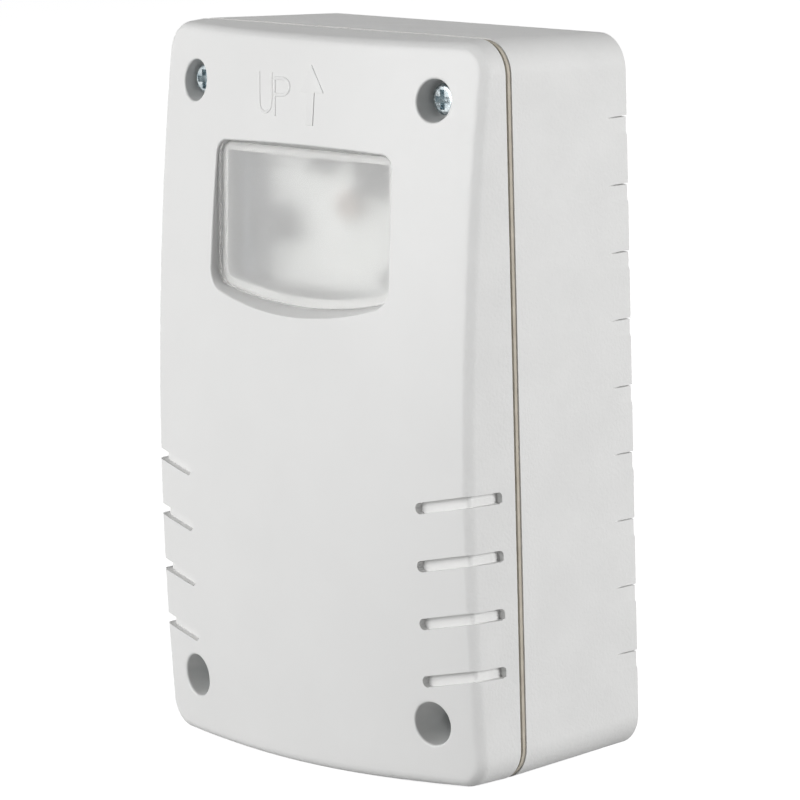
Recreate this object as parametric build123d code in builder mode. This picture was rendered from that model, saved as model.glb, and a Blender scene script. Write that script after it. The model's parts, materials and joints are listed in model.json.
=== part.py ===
"""Automatic coop door opener: a wall box that winds the cord of a pop-hole door.

Millimetres.  X runs to the right, Y points into the wall and Z is up.  The origin is the
centre of the wall face, so everything lies at negative Y.  A "depth" is a distance from
the wall face towards the front.
"""
from build123d import *
import os
from math import acos, cos, pi, radians, sin, tan

os.makedirs("parts", exist_ok=True)

# ---------------------------------------------------------------- housing
unit_height = 120.0          # height at the joint between base and cover
unit_width = 78.5            # width at the same joint
base_depth = 27.45           # wall face to the joint
base_draft = 1.26            # how much each side of the base draws in at the wall
corner_round = 5.7           # corners seen from the front
shell_wall = 2.5             # wall of base and cover

# ---------------------------------------------------------------- cover
crown_height = 13.6          # joint to the foremost point of the cover
crown_z = -18.0              # height of that foremost point
plan_radius = 195.0          # bulge of the front seen from above
profile_radius = 520.0       # bulge of the front seen from the side
side_draft = 0.056           # draw-in of the cover's flanks for each mm of depth
top_draft = 0.076
chin_drop = 0.098            # how the chin swells downwards for each mm of depth
chin_rise = 1.9              # the chin's arc, from its middle to the corners
front_corner_round = 4.0
edge_round = 2.0             # soft edge between front and flanks
rear_edge_round = 0.4

# ---------------------------------------------------------------- seal in the joint
seal_thickness = 0.65
seal_gap = 0.45              # open line between seal and cover edge
seal_inset = 0.3
seal_width = 1.9
tongue_inset = 1.6           # the cover's inner lip, which presses on the seal

# ---------------------------------------------------------------- cover screws
screw_inset = 1.85           # from the middle between window and flank
screw_pitch_z = 100.3
screw_centre_z = 0.25
well_radius = 3.3            # at the screw seat, it widens to the front
well_taper = 2.0
opening_round = 0.35         # of the wells and the window recess, at the front
column_wall = 1.7
column_floor = 2.2
seat_above_joint = 2.95
cover_screw_radius = 1.3
cover_screw_length = 14.0
cover_screw_head_radius = 2.6
cover_screw_head_height = 1.9
screw_head_round = 0.4        # of the head's height
recess_share = 0.6           # cross recess, of the head's height
recess_arm = 0.62            # and of its radius
recess_blade = 0.2
screw_clearance = 0.25       # around a screw that passes through
hole_spare = 0.4             # past a screw's tip
pilot_clearance = 0.1
pillar_wall = 3.0
pillar_gap = 0.3

# ---------------------------------------------------------------- window
window_z = 30.0
lens_depth = 36.65           # wall face to the lens front, at window_z
lens_tilt = 2.35
lens_width = 42.6
lens_top = 11.0              # above window_z
lens_bottom = 14.9           # below window_z, at the middle of the arc
lens_arc_radius = 84.0
lens_top_round = 2.0
lens_bottom_round = 3.0
lens_thickness = 1.5
lens_gap = 0.18
ledge_width = 1.4
ledge_thickness = 1.2
frame_wall = 1.6
recess_taper = 24.0

# ---------------------------------------------------------------- grip slots in the cover
slot_count = 4
slot_first_z = -14.65
slot_pitch = 9.45
slot_height = 1.9
slot_depth = 1.2
slot_inner_x = 28.9
slot_corner_x = 38.0
slot_rise = 1.75
slot_stop = 2.9              # joint to the slot's rear end
slot_end_round = 0.8

# ---------------------------------------------------------------- notches at the wall edge
notch_count = 9
notch_first_z = 44.0
notch_pitch = 11.0
notch_height = 3.2
notch_length = 5.0
notch_depth = 0.25
notch_foot = 0.6              # height of the slope at a notch's lower end
notch_slit_height = 0.3
notch_slit_depth = 1.4
notch_slit_foot = 0.1

# ---------------------------------------------------------------- wall fixing and cord outlet
wall_hole_pitch = 100.0
wall_hole_radius = 2.25
wall_pad_radius = 5.0
wall_pad_height = 1.0
eyelet_radius = 3.0
eyelet_bore_radius = 1.25
eyelet_flange_radius = 4.2
eyelet_flange_height = 1.0
eyelet_pad_radius = 5.2
eyelet_pad_top = 3.6         # above the bottom of the joint outline
eyelet_recess = 0.8
eyelet_clearance = 0.05

# ---------------------------------------------------------------- gear train
gear_module = 0.5
pressure_angle = 20.0
pinion_teeth = 12
wheel_teeth = 42
drum_teeth = 54
addendum = 0.85              # in modules
dedendum = 1.2
flank_relief = 0.05          # taken off each flank, for backlash
gear_width = 2.4
gear_gap = 0.4               # between gear layers
axle_radius = 1.0
axle_clearance = 0.05
axle_head = 0.6
axle_head_radius = 1.6
axle_end_gap = 0.2
hub_radius = 2.0
web_hole_count = 6
web_hole_radius = 2.4
web_hole_reach = 8.2
drum_x = 13.5
drum_z = -29.0
second_bearing = 75.0        # direction from the drum to the second gear, degrees
first_bearing = 100.0
motor_bearing = 58.3

# ---------------------------------------------------------------- gear plate
plate_depth = 23.6           # wall face to the plate's rear
plate_thickness = 2.0
plate_left = -1.6
plate_right = 34.9
plate_bottom = -40.5
plate_top = 17.5
plate_round = 3.0
plate_post_radius = 2.8
plate_post_places = [(4.2, 8.0), (31.6, -9.0), (31.4, -36.8), (1.6, -13.0)]
small_screw_radius = 1.2
small_head_radius = 2.1
small_head_height = 1.3
small_screw_length = 8.0

# ---------------------------------------------------------------- drum
drum_core_radius = 8.0
drum_core_width = 11.0
drum_flange_radius = 12.5
drum_flange_thickness = 1.5
drum_hub_gap = 1.0
drum_shaft_radius = 2.0
drum_shaft_clearance = 0.05
cord_hole_radius = 1.2
bush_wall = 1.1
bush_length = 4.0
drum_boss_wall = 1.5
shaft_spare = 0.4
clip_radius = 3.2
clip_thickness = 0.6
cord_radius = 1.0

# ---------------------------------------------------------------- motor
motor_radius = 12.2
motor_length = 16.5
can_wall = 0.8
motor_cap_thickness = 1.8
motor_boss_radius = 3.4
motor_boss_height = 1.4
motor_boss_clearance = 0.05
magnet_end_gap = 2.4
magnet_thickness = 2.4
magnet_slit = 3.0            # between the two magnets
air_gap = 0.4
rotor_poles = 3
rotor_slot_floor = 3.4
rotor_slot_width = 1.6
cap_spigot = 1.2
cap_bearing_radius = 3.0
shaft_sink = 1.2             # of the shaft into the end cap
pinion_collar_radius = 2.2
motor_shaft_radius = 1.0
motor_screw_reach = 8.0
motor_screw_length = 3.4
motor_tag_width = 2.4
motor_tag_height = 0.5
motor_tag_length = 1.6
motor_tag_reach = 8.0

# ---------------------------------------------------------------- slack cord switch
switch_length = 12.8
switch_height = 6.5
switch_width = 5.8
switch_left = 9.2
switch_top = -45.4
switch_hole_pitch = 6.5
switch_hole_rise = 2.0       # above the switch's bottom
switch_screw_radius = 0.9
switch_screw_clearance = 0.15
switch_screw_length = 10.0
switch_head_radius = 1.6
switch_tag_places = [12.2, 18.9]
switch_tag_length = 1.0
ear_radius = 1.6
ear_thickness = 0.6
switch_post_radius = 1.9
lever_angle = 8.0
lever_thickness = 0.4
lever_width = 4.2
lever_pivot_inset = 1.8
lever_pivot_rise = 1.2
lever_eye_radius = 1.7
lever_eye_margin = 1.4
pivot_radius = 0.5
pivot_clearance = 0.05
plunger_radius = 0.8
plunger_reach = 7.4          # from the lever's pivot
plunger_gap = 0.1
plunger_clearance = 0.05
plunger_sink = 1.2           # into the switch, at rest
plunger_well = 2.4

# ---------------------------------------------------------------- battery
cell_radius = 7.15
cell_length = 50.5
cell_nub_radius = 2.7
cell_nub_length = 1.2
cell_end_round = 0.6
cell_spacing = 14.8
cell_clearance = 0.3
contact_thickness = 0.4
contact_height = 1.1
contact_width = 9.0
contact_stud_radius = 2.2
tray_wall = 1.0
tray_floor = 1.2
tray_end_wall = 1.6
tray_centre_x = -18.6
tray_centre_z = -14.6
tray_side_depth = 18.0
tray_end_depth = 32.5
tray_boss_height = 1.5
tray_boss_radius = 3.0
tray_screw_offset = 15.0
tray_screw_length = 4.0

# ---------------------------------------------------------------- circuit board
board_depth = 26.4           # wall face to the board's rear
board_thickness = 1.6
board_width = 68.0
board_round = 1.5
board_bottom = 16.9
board_top = 44.4
board_post_radius = 2.5
board_post_x = 31.0
board_post_heights = [26.0, 42.0]

terminal_x = -20.0
terminal_z = 30.0
terminal_width = 6.0
terminal_length = 24.0
terminal_height = 4.6
terminal_poles = 5
terminal_hole_radius = 1.3
terminal_hole_depth = 1.4
terminal_screw_clearance = 0.1
terminal_screw_height = 0.9
terminal_slot_width = 0.5

capacitor_x = -12.7
capacitor_z = 27.5
capacitor_radius = 3.15
capacitor_height = 4.8
capacitor_round = 0.6
sensor_x = 4.4
sensor_z = 31.5
sensor_radius = 2.5
sensor_height = 2.0
led_x = 14.0
led_z = 20.5
led_radius = 1.5
led_height = 4.0
led_dome = 1.4
controller_x = 13.0
controller_z = 37.0
controller_length = 12.8
controller_width = 7.4
controller_height = 2.2
driver_x = -2.0
driver_z = 38.5
driver_length = 5.0
driver_width = 4.0
driver_height = 1.6
pin_pitch = 1.27
pin_width = 0.4
pin_reach = 1.1
pin_thickness = 0.3
resistor_length = 2.0
resistor_width = 1.2
resistor_height = 0.5
resistor_z = 42.6
resistor_first_x = -12.0
resistor_pitch = 3.4
resistor_count = 5

button_x = 27.6
button_z = 20.4
button_base = 6.0
button_base_height = 3.4
button_radius = 1.75
button_rise = 1.4
button_clearance = 0.1
button_sink = 0.6
button_well = 1.0
trimmer_x = 28.0
trimmer_z = 34.2
trimmer_base = 6.6
trimmer_base_height = 2.2
trimmer_radius = 2.4
trimmer_rise = 1.0
trimmer_sink = 0.8
trimmer_slot_width = 0.6
trimmer_slot_depth = 0.6
trimmer_clearance = 0.05
slide_x = -29.0
slide_z = 34.0
slide_width = 4.4
slide_length = 9.0
slide_height = 3.4
slide_knob_width = 1.6
slide_knob_length = 2.0
slide_knob_rise = 1.8
slide_travel = 2.0
slide_clearance = 0.1
slide_well_depth = 1.2
header_x = -28.8
header_z = 20.7
header_length = 6.0
header_width = 5.0
header_height = 4.6
header_wall = 0.7
header_floor = 1.0
header_pin_width = 0.6
header_pin_rise = 2.6
header_pin_places = [-30.0, -27.6]
header_lead_depth = 30.3

# ---------------------------------------------------------------- leads
lead_radius = 0.6
lead_bend = 0.8
lead_pitch = 1.3
cell_lead_depth = 29.0
cell_lead_turns = [14.2, 15.5]
lead_clearance = 0.1
motor_lead_depth = 4.5
motor_lead_top = 22.2
switch_lead_x = 7.9
switch_lead_depth = 4.2
switch_lead_bottom = -54.3
switch_lead_top = 25.0

# ---------------------------------------------------------------- worked out places
joint_bottom = -unit_height / 2
rim_depth = base_depth - seal_gap - seal_thickness
seal_front = rim_depth + seal_thickness
seat_depth = base_depth + seat_above_joint
screw_pitch_x = (unit_width + lens_width) / 2 - screw_inset
column_radius = well_radius + column_wall
column_foot = seat_depth - column_floor
pillar_radius = cover_screw_radius + pillar_wall
pillar_top = column_foot - pillar_gap
screw_places = [
    (side * screw_pitch_x / 2, screw_centre_z + end * screw_pitch_z / 2)
    for side in (-1, 1)
    for end in (-1, 1)
]
wall_hole_places = [(0, -wall_hole_pitch / 2), (0, wall_hole_pitch / 2)]
cover_reach = crown_height + 3.0
front_bound = base_depth + cover_reach

plate_front = plate_depth + plate_thickness
layer_depths = [plate_front + gear_gap + i * (gear_width + gear_gap) for i in range(3)]
train_front = layer_depths[2] + gear_width
pinion_pitch_radius = gear_module * pinion_teeth / 2
wheel_pitch_radius = gear_module * wheel_teeth / 2
drum_pitch_radius = gear_module * drum_teeth / 2


def step_from(place, bearing, distance):
    """A point at a distance from a place, in a direction seen from the front."""
    angle = radians(bearing)
    return place[0] + distance * cos(angle), place[1] + distance * sin(angle)


drum_place = (drum_x, drum_z)
second_place = step_from(drum_place, second_bearing, drum_pitch_radius + pinion_pitch_radius)
first_place = step_from(second_place, first_bearing, wheel_pitch_radius + pinion_pitch_radius)
motor_place = step_from(first_place, motor_bearing, wheel_pitch_radius + pinion_pitch_radius)

motor_screw_places = [step_from(motor_place, bearing, motor_screw_reach) for bearing in (0, 180)]
motor_rear = plate_depth - motor_length
motor_cap_rear = motor_rear - motor_cap_thickness
shaft_rear = motor_rear - shaft_sink
magnet_rear = motor_rear + magnet_end_gap
magnet_front = plate_depth - can_wall - magnet_end_gap
magnet_inner_radius = motor_radius - can_wall - magnet_thickness

drum_rear = plate_depth - drum_hub_gap - drum_core_width - 2 * drum_flange_thickness
drum_middle = drum_rear + drum_flange_thickness + drum_core_width / 2
cord_x = drum_x - drum_core_radius - cord_radius
bush_radius = drum_shaft_radius + drum_shaft_clearance + bush_wall
drum_boss_top = drum_rear - drum_hub_gap
drum_front = plate_depth - drum_hub_gap
drum_gear_front = layer_depths[0] + gear_width
cord_place = (cord_x, drum_middle)

board_front = board_depth + board_thickness
board_place = (0, (board_bottom + board_top) / 2)
board_post_places = [(side * board_post_x, z) for side in (-1, 1) for z in board_post_heights]

cell_rows = [
    shell_wall + tray_boss_height + tray_floor + cell_clearance + cell_radius + i * cell_spacing
    for i in range(2)
]
cell_columns = [tray_centre_x + side * cell_spacing / 2 for side in (-1, 1)]
bay_width = cell_spacing + 2 * cell_radius + 2 * cell_clearance
bay_length = cell_length + 2 * contact_height
tray_width = bay_width + 2 * tray_wall
tray_length = bay_length + 2 * tray_end_wall
tray_rear = shell_wall + tray_boss_height
tray_front = tray_rear + tray_floor
tray_place = (tray_centre_x, tray_centre_z)
tray_screw_places = [(tray_centre_x, tray_centre_z + side * tray_screw_offset) for side in (-1, 1)]
bay_bottom = tray_centre_z - bay_length / 2
bay_top = tray_centre_z + bay_length / 2

switch_middle = drum_middle
switch_rear = switch_middle - switch_width / 2
switch_front = switch_middle + switch_width / 2
switch_bottom = switch_top - switch_height
switch_place = (switch_left + switch_length / 2, (switch_top + switch_bottom) / 2)
switch_hole_places = [
    (switch_place[0] + side * switch_hole_pitch / 2, switch_bottom + switch_hole_rise) for side in (-1, 1)
]
pivot_x = switch_left + switch_length - lever_pivot_inset
pivot_z = switch_top + lever_pivot_rise
pivot_place = (pivot_x, pivot_z)
lever_reach = (pivot_x - cord_x) / cos(radians(lever_angle))
lever_rear = switch_middle - lever_width / 2
lever_front = switch_middle + lever_width / 2
lever_barrel = pivot_radius + pivot_clearance + lever_thickness
plunger_x = pivot_x - plunger_reach
plunger_top = pivot_z + plunger_reach * tan(radians(lever_angle)) - lever_thickness - plunger_gap


# ---------------------------------------------------------------- helpers
def face_plane(depth, x=0.0, z=0.0):
    """A plane that faces the front, at a depth from the wall, centred on x and z."""
    return Plane(origin=(x, -depth, z), x_dir=(1, 0, 0), z_dir=(0, -1, 0))


def rod(place, start, end, radius, mode=Mode.ADD):
    """A round bar along the depth, in the part being built."""
    with BuildSketch(face_plane(start, *place)) as profile:
        Circle(radius)
    extrude(profile.sketch, amount=end - start, mode=mode)


def block(place, size, start, end, mode=Mode.ADD):
    """A rectangular block along the depth, in the part being built."""
    with BuildSketch(face_plane(start, *place)) as profile:
        Rectangle(*size)
    extrude(profile.sketch, amount=end - start, mode=mode)


def joint_outline(depth, inset, draw_in=0.0):
    """The rounded outline of the joint, drawn in on every side, at a depth."""
    shrink = 2 * (inset + draw_in)
    with BuildSketch(face_plane(depth)) as outline:
        RectangleRounded(unit_width - shrink, unit_height - shrink, corner_round - inset)
    return outline.sketch


def base_form(inset, start):
    """The drafted block of the base, from a depth up to the joint."""
    draw_in = base_draft * (1 - start / base_depth)
    with BuildPart() as form:
        loft([joint_outline(start, inset, draw_in), joint_outline(base_depth, inset)], ruled=True)
    return form.part


def front_outline(inset):
    """The cover's outline at its full reach, with the chin's arc at the bottom."""
    half = unit_width / 2 - side_draft * cover_reach - inset
    top = unit_height / 2 - top_draft * cover_reach - inset
    chin = joint_bottom - chin_drop * cover_reach + inset
    with BuildSketch(face_plane(front_bound)) as outline:
        with BuildLine():
            ThreePointArc((-half, chin + chin_rise), (0, chin), (half, chin + chin_rise))
            Polyline((half, chin + chin_rise), (half, top), (-half, top), (-half, chin + chin_rise))
        make_face()
        fillet(outline.vertices(), radius=front_corner_round - inset / 2)
    return outline.sketch


def crown_form(inset):
    """The round body whose skin is the cover's front, bulged in plan and in profile."""
    axis_y = -base_depth - crown_height + plan_radius
    arc = profile_radius - inset
    low, high = joint_bottom - cover_reach, unit_height / 2 + cover_reach

    def swell(z):
        return axis_y + plan_radius - profile_radius + (arc**2 - (z - crown_z) ** 2) ** 0.5

    with BuildPart() as form:
        with BuildSketch(Plane.YZ):
            with BuildLine():
                ThreePointArc((swell(low), low), (swell(crown_z), crown_z), (swell(high), high))
                Polyline((swell(high), high), (axis_y, high), (axis_y, low), (swell(low), low))
            make_face()
        revolve(axis=Axis((0, axis_y, 0), (0, 0, 1)))
    return form.part


def cover_form(inset):
    """The cover's block: drafted flanks under a front that bulges both ways."""
    with BuildPart() as form:
        loft([joint_outline(base_depth, inset), front_outline(inset)], ruled=True)
        add(crown_form(inset), mode=Mode.INTERSECT)
        if edge_round > inset:
            front_face = form.faces().sort_by(Axis.Y)[0]
            fillet(front_face.edges(), radius=edge_round - inset)
    return form.part


def window_plane(forward):
    """The lens's tilted front plane, moved forward by a distance."""
    tilt = radians(lens_tilt)
    lens_front = Plane(
        origin=(0, -lens_depth, window_z), x_dir=(1, 0, 0), z_dir=(0, -cos(tilt), sin(tilt))
    )
    return lens_front.offset(forward)


def window_outline(forward, growth):
    """The window's outline, a rectangle on a smiling arc, grown on every side."""
    half = lens_width / 2
    corner_lift = lens_arc_radius - (lens_arc_radius**2 - half**2) ** 0.5
    with BuildSketch(window_plane(forward)) as outline:
        with BuildLine():
            ThreePointArc(
                (-half, corner_lift - lens_bottom), (0, -lens_bottom), (half, corner_lift - lens_bottom)
            )
            Polyline(
                (half, corner_lift - lens_bottom),
                (half, lens_top),
                (-half, lens_top),
                (-half, corner_lift - lens_bottom),
            )
        make_face()
        fillet(outline.vertices().group_by(Axis.Y)[-1], radius=lens_top_round)
        fillet(outline.vertices().group_by(Axis.Y)[0], radius=lens_bottom_round)
        offset(amount=growth)
    return outline.sketch


def spot(radius, angle):
    """A point on a circle about the sketch's middle, the angle in radians."""
    return radius * cos(angle), radius * sin(angle)


def gear_outline(depth, place, teeth, bearing):
    """An involute spur gear with one tooth that points along the bearing, in degrees."""
    pitch = gear_module * teeth / 2
    base = pitch * cos(radians(pressure_angle))
    tip = pitch + addendum * gear_module
    root = pitch - dedendum * gear_module
    start = max(root, base)
    tooth_step = 2 * pi / teeth

    def involute(radius):
        angle = acos(base / radius)
        return tan(angle) - angle

    def half_angle(radius):
        at_pitch = tooth_step / 4 - flank_relief / pitch
        return at_pitch + involute(pitch) - involute(max(radius, base))

    with BuildSketch(face_plane(depth, *place)) as outline:
        with BuildLine():
            for tooth in range(teeth):
                middle = radians(bearing) + tooth * tooth_step
                for side in (-1, 1):
                    if start > root:
                        Line(
                            spot(root, middle + side * half_angle(start)),
                            spot(start, middle + side * half_angle(start)),
                        )
                    ThreePointArc(
                        spot(start, middle + side * half_angle(start)),
                        spot(pitch, middle + side * half_angle(pitch)),
                        spot(tip, middle + side * half_angle(tip)),
                    )
                ThreePointArc(
                    spot(tip, middle - half_angle(tip)),
                    spot(tip, middle),
                    spot(tip, middle + half_angle(tip)),
                )
                ThreePointArc(
                    spot(root, middle + half_angle(start)),
                    spot(root, middle + tooth_step / 2),
                    spot(root, middle + tooth_step - half_angle(start)),
                )
        make_face()
    return outline.sketch


def gap_bearing(bearing, teeth):
    """Where a wheel's tooth points so that a gap meets the tooth of the wheel before it."""
    return bearing + 180 + 180 / teeth


def gear_layer(layer, place, teeth, bearing, length=gear_width):
    """A toothed wheel in one layer of the train, in the part being built."""
    extrude(gear_outline(layer_depths[layer], place, teeth, bearing), amount=length)


def upright(place, start, end, radius, mode=Mode.ADD):
    """A round bar along the height, in the part being built; its place is x and depth."""
    with BuildSketch(Plane(origin=(place[0], -place[1], start), z_dir=(0, 0, 1))) as profile:
        Circle(radius)
    extrude(profile.sketch, amount=end - start, mode=mode)


def base_half_width(depth):
    return unit_width / 2 - base_draft * (1 - depth / base_depth)


def wall_edge_cut(side, top, height, depth, foot):
    """Cuts a wedge into a side of the base: deepest at the wall, gone at notch_length."""
    wall_x = side * base_half_width(0)
    floor_x = wall_x - side * depth
    with BuildSketch(Plane.XZ) as wedge:
        Polygon(
            (floor_x, top),
            (side * unit_width, top),
            (side * unit_width, top - height),
            (wall_x, top - height),
            (floor_x, top - height + foot),
            align=None,
        )
    rise = Vector(side * base_half_width(notch_length) - floor_x, -notch_length, 0)
    extrude(wedge.sketch, amount=rise.length, dir=rise, mode=Mode.SUBTRACT)


def screw(place, seat, length, radius, head_radius, head_height):
    """A pan-head screw with a cross recess, its head in front of its seat."""
    with BuildPart() as form:
        rod(place, seat - length, seat, radius)
        rod(place, seat, seat + head_height, head_radius)
        fillet(form.faces().sort_by(Axis.Y)[0].edges(), radius=head_height * screw_head_round)
        recess_floor = seat + head_height * (1 - recess_share)
        arm, blade = 2 * head_radius * recess_arm, 2 * head_radius * recess_blade
        for size in ((arm, blade), (blade, arm)):
            block(place, size, recess_floor, seat + head_height, Mode.SUBTRACT)
    return form.part


def small_screw(place, seat, length):
    return screw(place, seat, length, small_screw_radius, small_head_radius, small_head_height)


def chip(place, length, width, height):
    """A chip on the board with a row of pins along both long sides."""
    block(place, (length, width), board_front, board_front + height)
    count = int(length / pin_pitch)
    for number in range(count):
        pin_x = place[0] + (number - (count - 1) / 2) * pin_pitch
        pin_size = (pin_width, width + 2 * pin_reach)
        block((pin_x, place[1]), pin_size, board_front, board_front + pin_thickness)


def contact(wall, rows, columns, inward):
    """A cell contact against an end wall of the bay: a plate with a stud for each cell."""
    place = ((columns[0] + columns[-1]) / 2, wall + inward * contact_thickness / 2)
    size = (contact_width + abs(columns[-1] - columns[0]), contact_thickness)
    block(place, size, rows[0] - contact_width / 2, rows[-1] + contact_width / 2)
    for row in rows:
        for column in columns:
            upright((column, row), wall, wall + inward * contact_height, contact_stud_radius)


def lead(points):
    """A round lead through points given as x, depth and z, with rounded turns."""
    with BuildPart() as form:
        with BuildLine() as route:
            FilletPolyline(*[(x, -depth, z) for x, depth, z in points], radius=lead_bend)
        with BuildSketch(Plane(origin=route.line @ 0, z_dir=route.line % 0)):
            Circle(lead_radius)
        sweep()
    return form.part


# ---------------------------------------------------------------- base
with BuildPart() as back_housing:
    add(base_form(0.0, 0.0))
    add(base_form(shell_wall, shell_wall), mode=Mode.SUBTRACT)
    block((0, 0), (2 * unit_width, 2 * unit_height), rim_depth, front_bound, Mode.SUBTRACT)
    for place in screw_places:
        rod(place, 0, pillar_top, pillar_radius)
    for place in plate_post_places:
        rod(place, 0, plate_depth, plate_post_radius)
    for place in board_post_places:
        rod(place, 0, board_depth, board_post_radius)
    for place in switch_hole_places:
        rod(place, 0, switch_rear, switch_post_radius)
    for place in tray_screw_places:
        rod(place, 0, tray_rear, tray_boss_radius)
    for place in wall_hole_places:
        rod(place, 0, shell_wall + wall_pad_height, wall_pad_radius)
    rod(drum_place, 0, drum_boss_top, bush_radius + drum_boss_wall)
    upright(cord_place, joint_bottom + base_draft, joint_bottom + eyelet_pad_top, eyelet_pad_radius)
    for place in screw_places:
        tip = seat_depth - cover_screw_length - hole_spare
        rod(place, tip, pillar_top, cover_screw_radius + pilot_clearance, Mode.SUBTRACT)
    for place in plate_post_places:
        tip = plate_front - small_screw_length - hole_spare
        rod(place, tip, plate_depth, small_screw_radius, Mode.SUBTRACT)
    for place in board_post_places:
        tip = board_front - small_screw_length - hole_spare
        rod(place, tip, board_depth, small_screw_radius, Mode.SUBTRACT)
    for place in switch_hole_places:
        tip = switch_front - switch_screw_length - hole_spare
        rod(place, tip, switch_rear, switch_screw_radius, Mode.SUBTRACT)
    for place in tray_screw_places:
        tip = tray_front - tray_screw_length - hole_spare
        rod(place, tip, tray_rear, small_screw_radius, Mode.SUBTRACT)
    for place in wall_hole_places:
        rod(place, 0, shell_wall + wall_pad_height, wall_hole_radius, Mode.SUBTRACT)
    rod(drum_place, drum_boss_top - bush_length, drum_boss_top, bush_radius, Mode.SUBTRACT)
    hole = eyelet_radius + eyelet_clearance
    upright(cord_place, joint_bottom, joint_bottom + eyelet_pad_top, hole, Mode.SUBTRACT)
    # shallow notches along both wall edges, each with a fine slit at its upper end
    for side in (-1, 1):
        for number in range(notch_count):
            notch_top = notch_first_z - number * notch_pitch + notch_height / 2
            wall_edge_cut(side, notch_top, notch_height, notch_depth, notch_foot)
            wall_edge_cut(side, notch_top, notch_slit_height, notch_slit_depth, notch_slit_foot)

back_housing.part.label = "back_housing"
export_step(back_housing.part, "parts/back_housing.step")

with BuildPart() as cover_seal:
    extrude(joint_outline(rim_depth, seal_inset), amount=seal_thickness)
    extrude(joint_outline(rim_depth, seal_inset + seal_width), amount=seal_thickness, mode=Mode.SUBTRACT)

cover_seal.part.label = "cover_seal"
export_step(cover_seal.part, "parts/cover_seal.step")

with BuildPart() as cord_eyelet:
    pad_top = joint_bottom + eyelet_pad_top
    upright(cord_place, joint_bottom + eyelet_recess, pad_top, eyelet_radius)
    upright(cord_place, pad_top, pad_top + eyelet_flange_height, eyelet_flange_radius)
    upright(cord_place, joint_bottom, pad_top + eyelet_flange_height, eyelet_bore_radius, Mode.SUBTRACT)

cord_eyelet.part.label = "cord_eyelet"
export_step(cord_eyelet.part, "parts/cord_eyelet.step")

# ---------------------------------------------------------------- cover
with BuildPart() as cover_cavity:
    add(cover_form(shell_wall))
    for place in screw_places:
        rod(place, column_foot, front_bound, column_radius, Mode.SUBTRACT)
    frame_rear = -lens_thickness - ledge_thickness
    extrude(window_outline(frame_rear, frame_wall), amount=cover_reach, mode=Mode.SUBTRACT)

with BuildPart() as grip_slots:
    for side in (-1, 1):
        for number in range(slot_count):
            slot_z = slot_first_z - number * slot_pitch
            with BuildSketch(face_plane(base_depth + slot_stop, 0, slot_z)):
                Polygon(
                    (side * slot_inner_x, slot_height / 2),
                    (side * slot_corner_x, slot_rise + slot_height / 2),
                    (side * unit_width, slot_rise + slot_height / 2),
                    (side * unit_width, slot_rise - slot_height / 2),
                    (side * slot_corner_x, slot_rise - slot_height / 2),
                    (side * slot_inner_x, -slot_height / 2),
                    align=None,
                )
                with Locations((side * slot_inner_x, 0)):
                    Circle(slot_height / 2)
            extrude(amount=cover_reach - slot_stop)
    rear_faces = grip_slots.faces().group_by(Axis.Y)[-1]
    fillet(rear_faces.edges().filter_by(Axis.X), radius=slot_end_round)
    add(cover_form(0.0), mode=Mode.INTERSECT)
    add(cover_form(slot_depth), mode=Mode.SUBTRACT)

with BuildPart() as front_cover:
    add(cover_form(0.0))
    fillet(front_cover.faces().sort_by(Axis.Y)[-1].edges(), radius=rear_edge_round)
    add(cover_cavity.part, mode=Mode.SUBTRACT)
    extrude(joint_outline(seal_front, tongue_inset), amount=base_depth - seal_front)
    extrude(joint_outline(seal_front, shell_wall), amount=base_depth - seal_front, mode=Mode.SUBTRACT)
    for place in screw_places:
        rod(place, column_foot, seat_depth, cover_screw_radius + screw_clearance, Mode.SUBTRACT)
        with BuildSketch(face_plane(seat_depth, *place)):
            Circle(well_radius)
        extrude(amount=cover_reach, taper=-well_taper, mode=Mode.SUBTRACT)
    extrude(window_outline(0, lens_gap), amount=cover_reach, taper=-recess_taper, mode=Mode.SUBTRACT)
    openings = front_cover.faces().sort_by(Axis.Y)[0].inner_wires()
    fillet([edge for wire in openings for edge in wire.edges()], radius=opening_round)
    extrude(window_outline(0, lens_gap), amount=-lens_thickness, mode=Mode.SUBTRACT)
    extrude(window_outline(0, -ledge_width), amount=-cover_reach, mode=Mode.SUBTRACT)
    add(grip_slots.part, mode=Mode.SUBTRACT)

front_cover.part.label = "front_cover"
export_step(front_cover.part, "parts/front_cover.step")

with BuildPart() as window_lens:
    extrude(window_outline(0, 0), amount=-lens_thickness)

window_lens.part.label = "window_lens"
export_step(window_lens.part, "parts/window_lens.step")

with BuildPart() as cover_screws:
    for place in screw_places:
        head = (cover_screw_head_radius, cover_screw_head_height)
        add(screw(place, seat_depth, cover_screw_length, cover_screw_radius, *head))

cover_screws.part.label = "cover_screws"
export_step(cover_screws.part, "parts/cover_screws.step")

# ---------------------------------------------------------------- gear plate and train
with BuildPart() as gear_plate:
    with BuildSketch(face_plane(plate_depth)) as plate_outline:
        Polygon(
            (plate_left, plate_bottom),
            (plate_right, plate_bottom),
            (plate_right, plate_top),
            (plate_left, plate_top),
            align=None,
        )
        fillet(plate_outline.vertices(), radius=plate_round)
    extrude(amount=plate_thickness)
    for place in plate_post_places:
        rod(place, plate_depth, plate_front, small_screw_radius + screw_clearance, Mode.SUBTRACT)
    for place in motor_screw_places:
        rod(place, plate_depth, plate_front, small_screw_radius + screw_clearance, Mode.SUBTRACT)
    rod(drum_place, plate_depth, plate_front, bush_radius, Mode.SUBTRACT)
    rod(motor_place, plate_depth, plate_front, motor_boss_radius + motor_boss_clearance, Mode.SUBTRACT)
    for place in (first_place, second_place):
        rod(place, plate_depth, plate_front, axle_radius, Mode.SUBTRACT)

gear_plate.part.label = "gear_plate"
export_step(gear_plate.part, "parts/gear_plate.step")

with BuildPart() as gear_plate_screws:
    for place in plate_post_places:
        add(small_screw(place, plate_front, small_screw_length))

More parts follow.
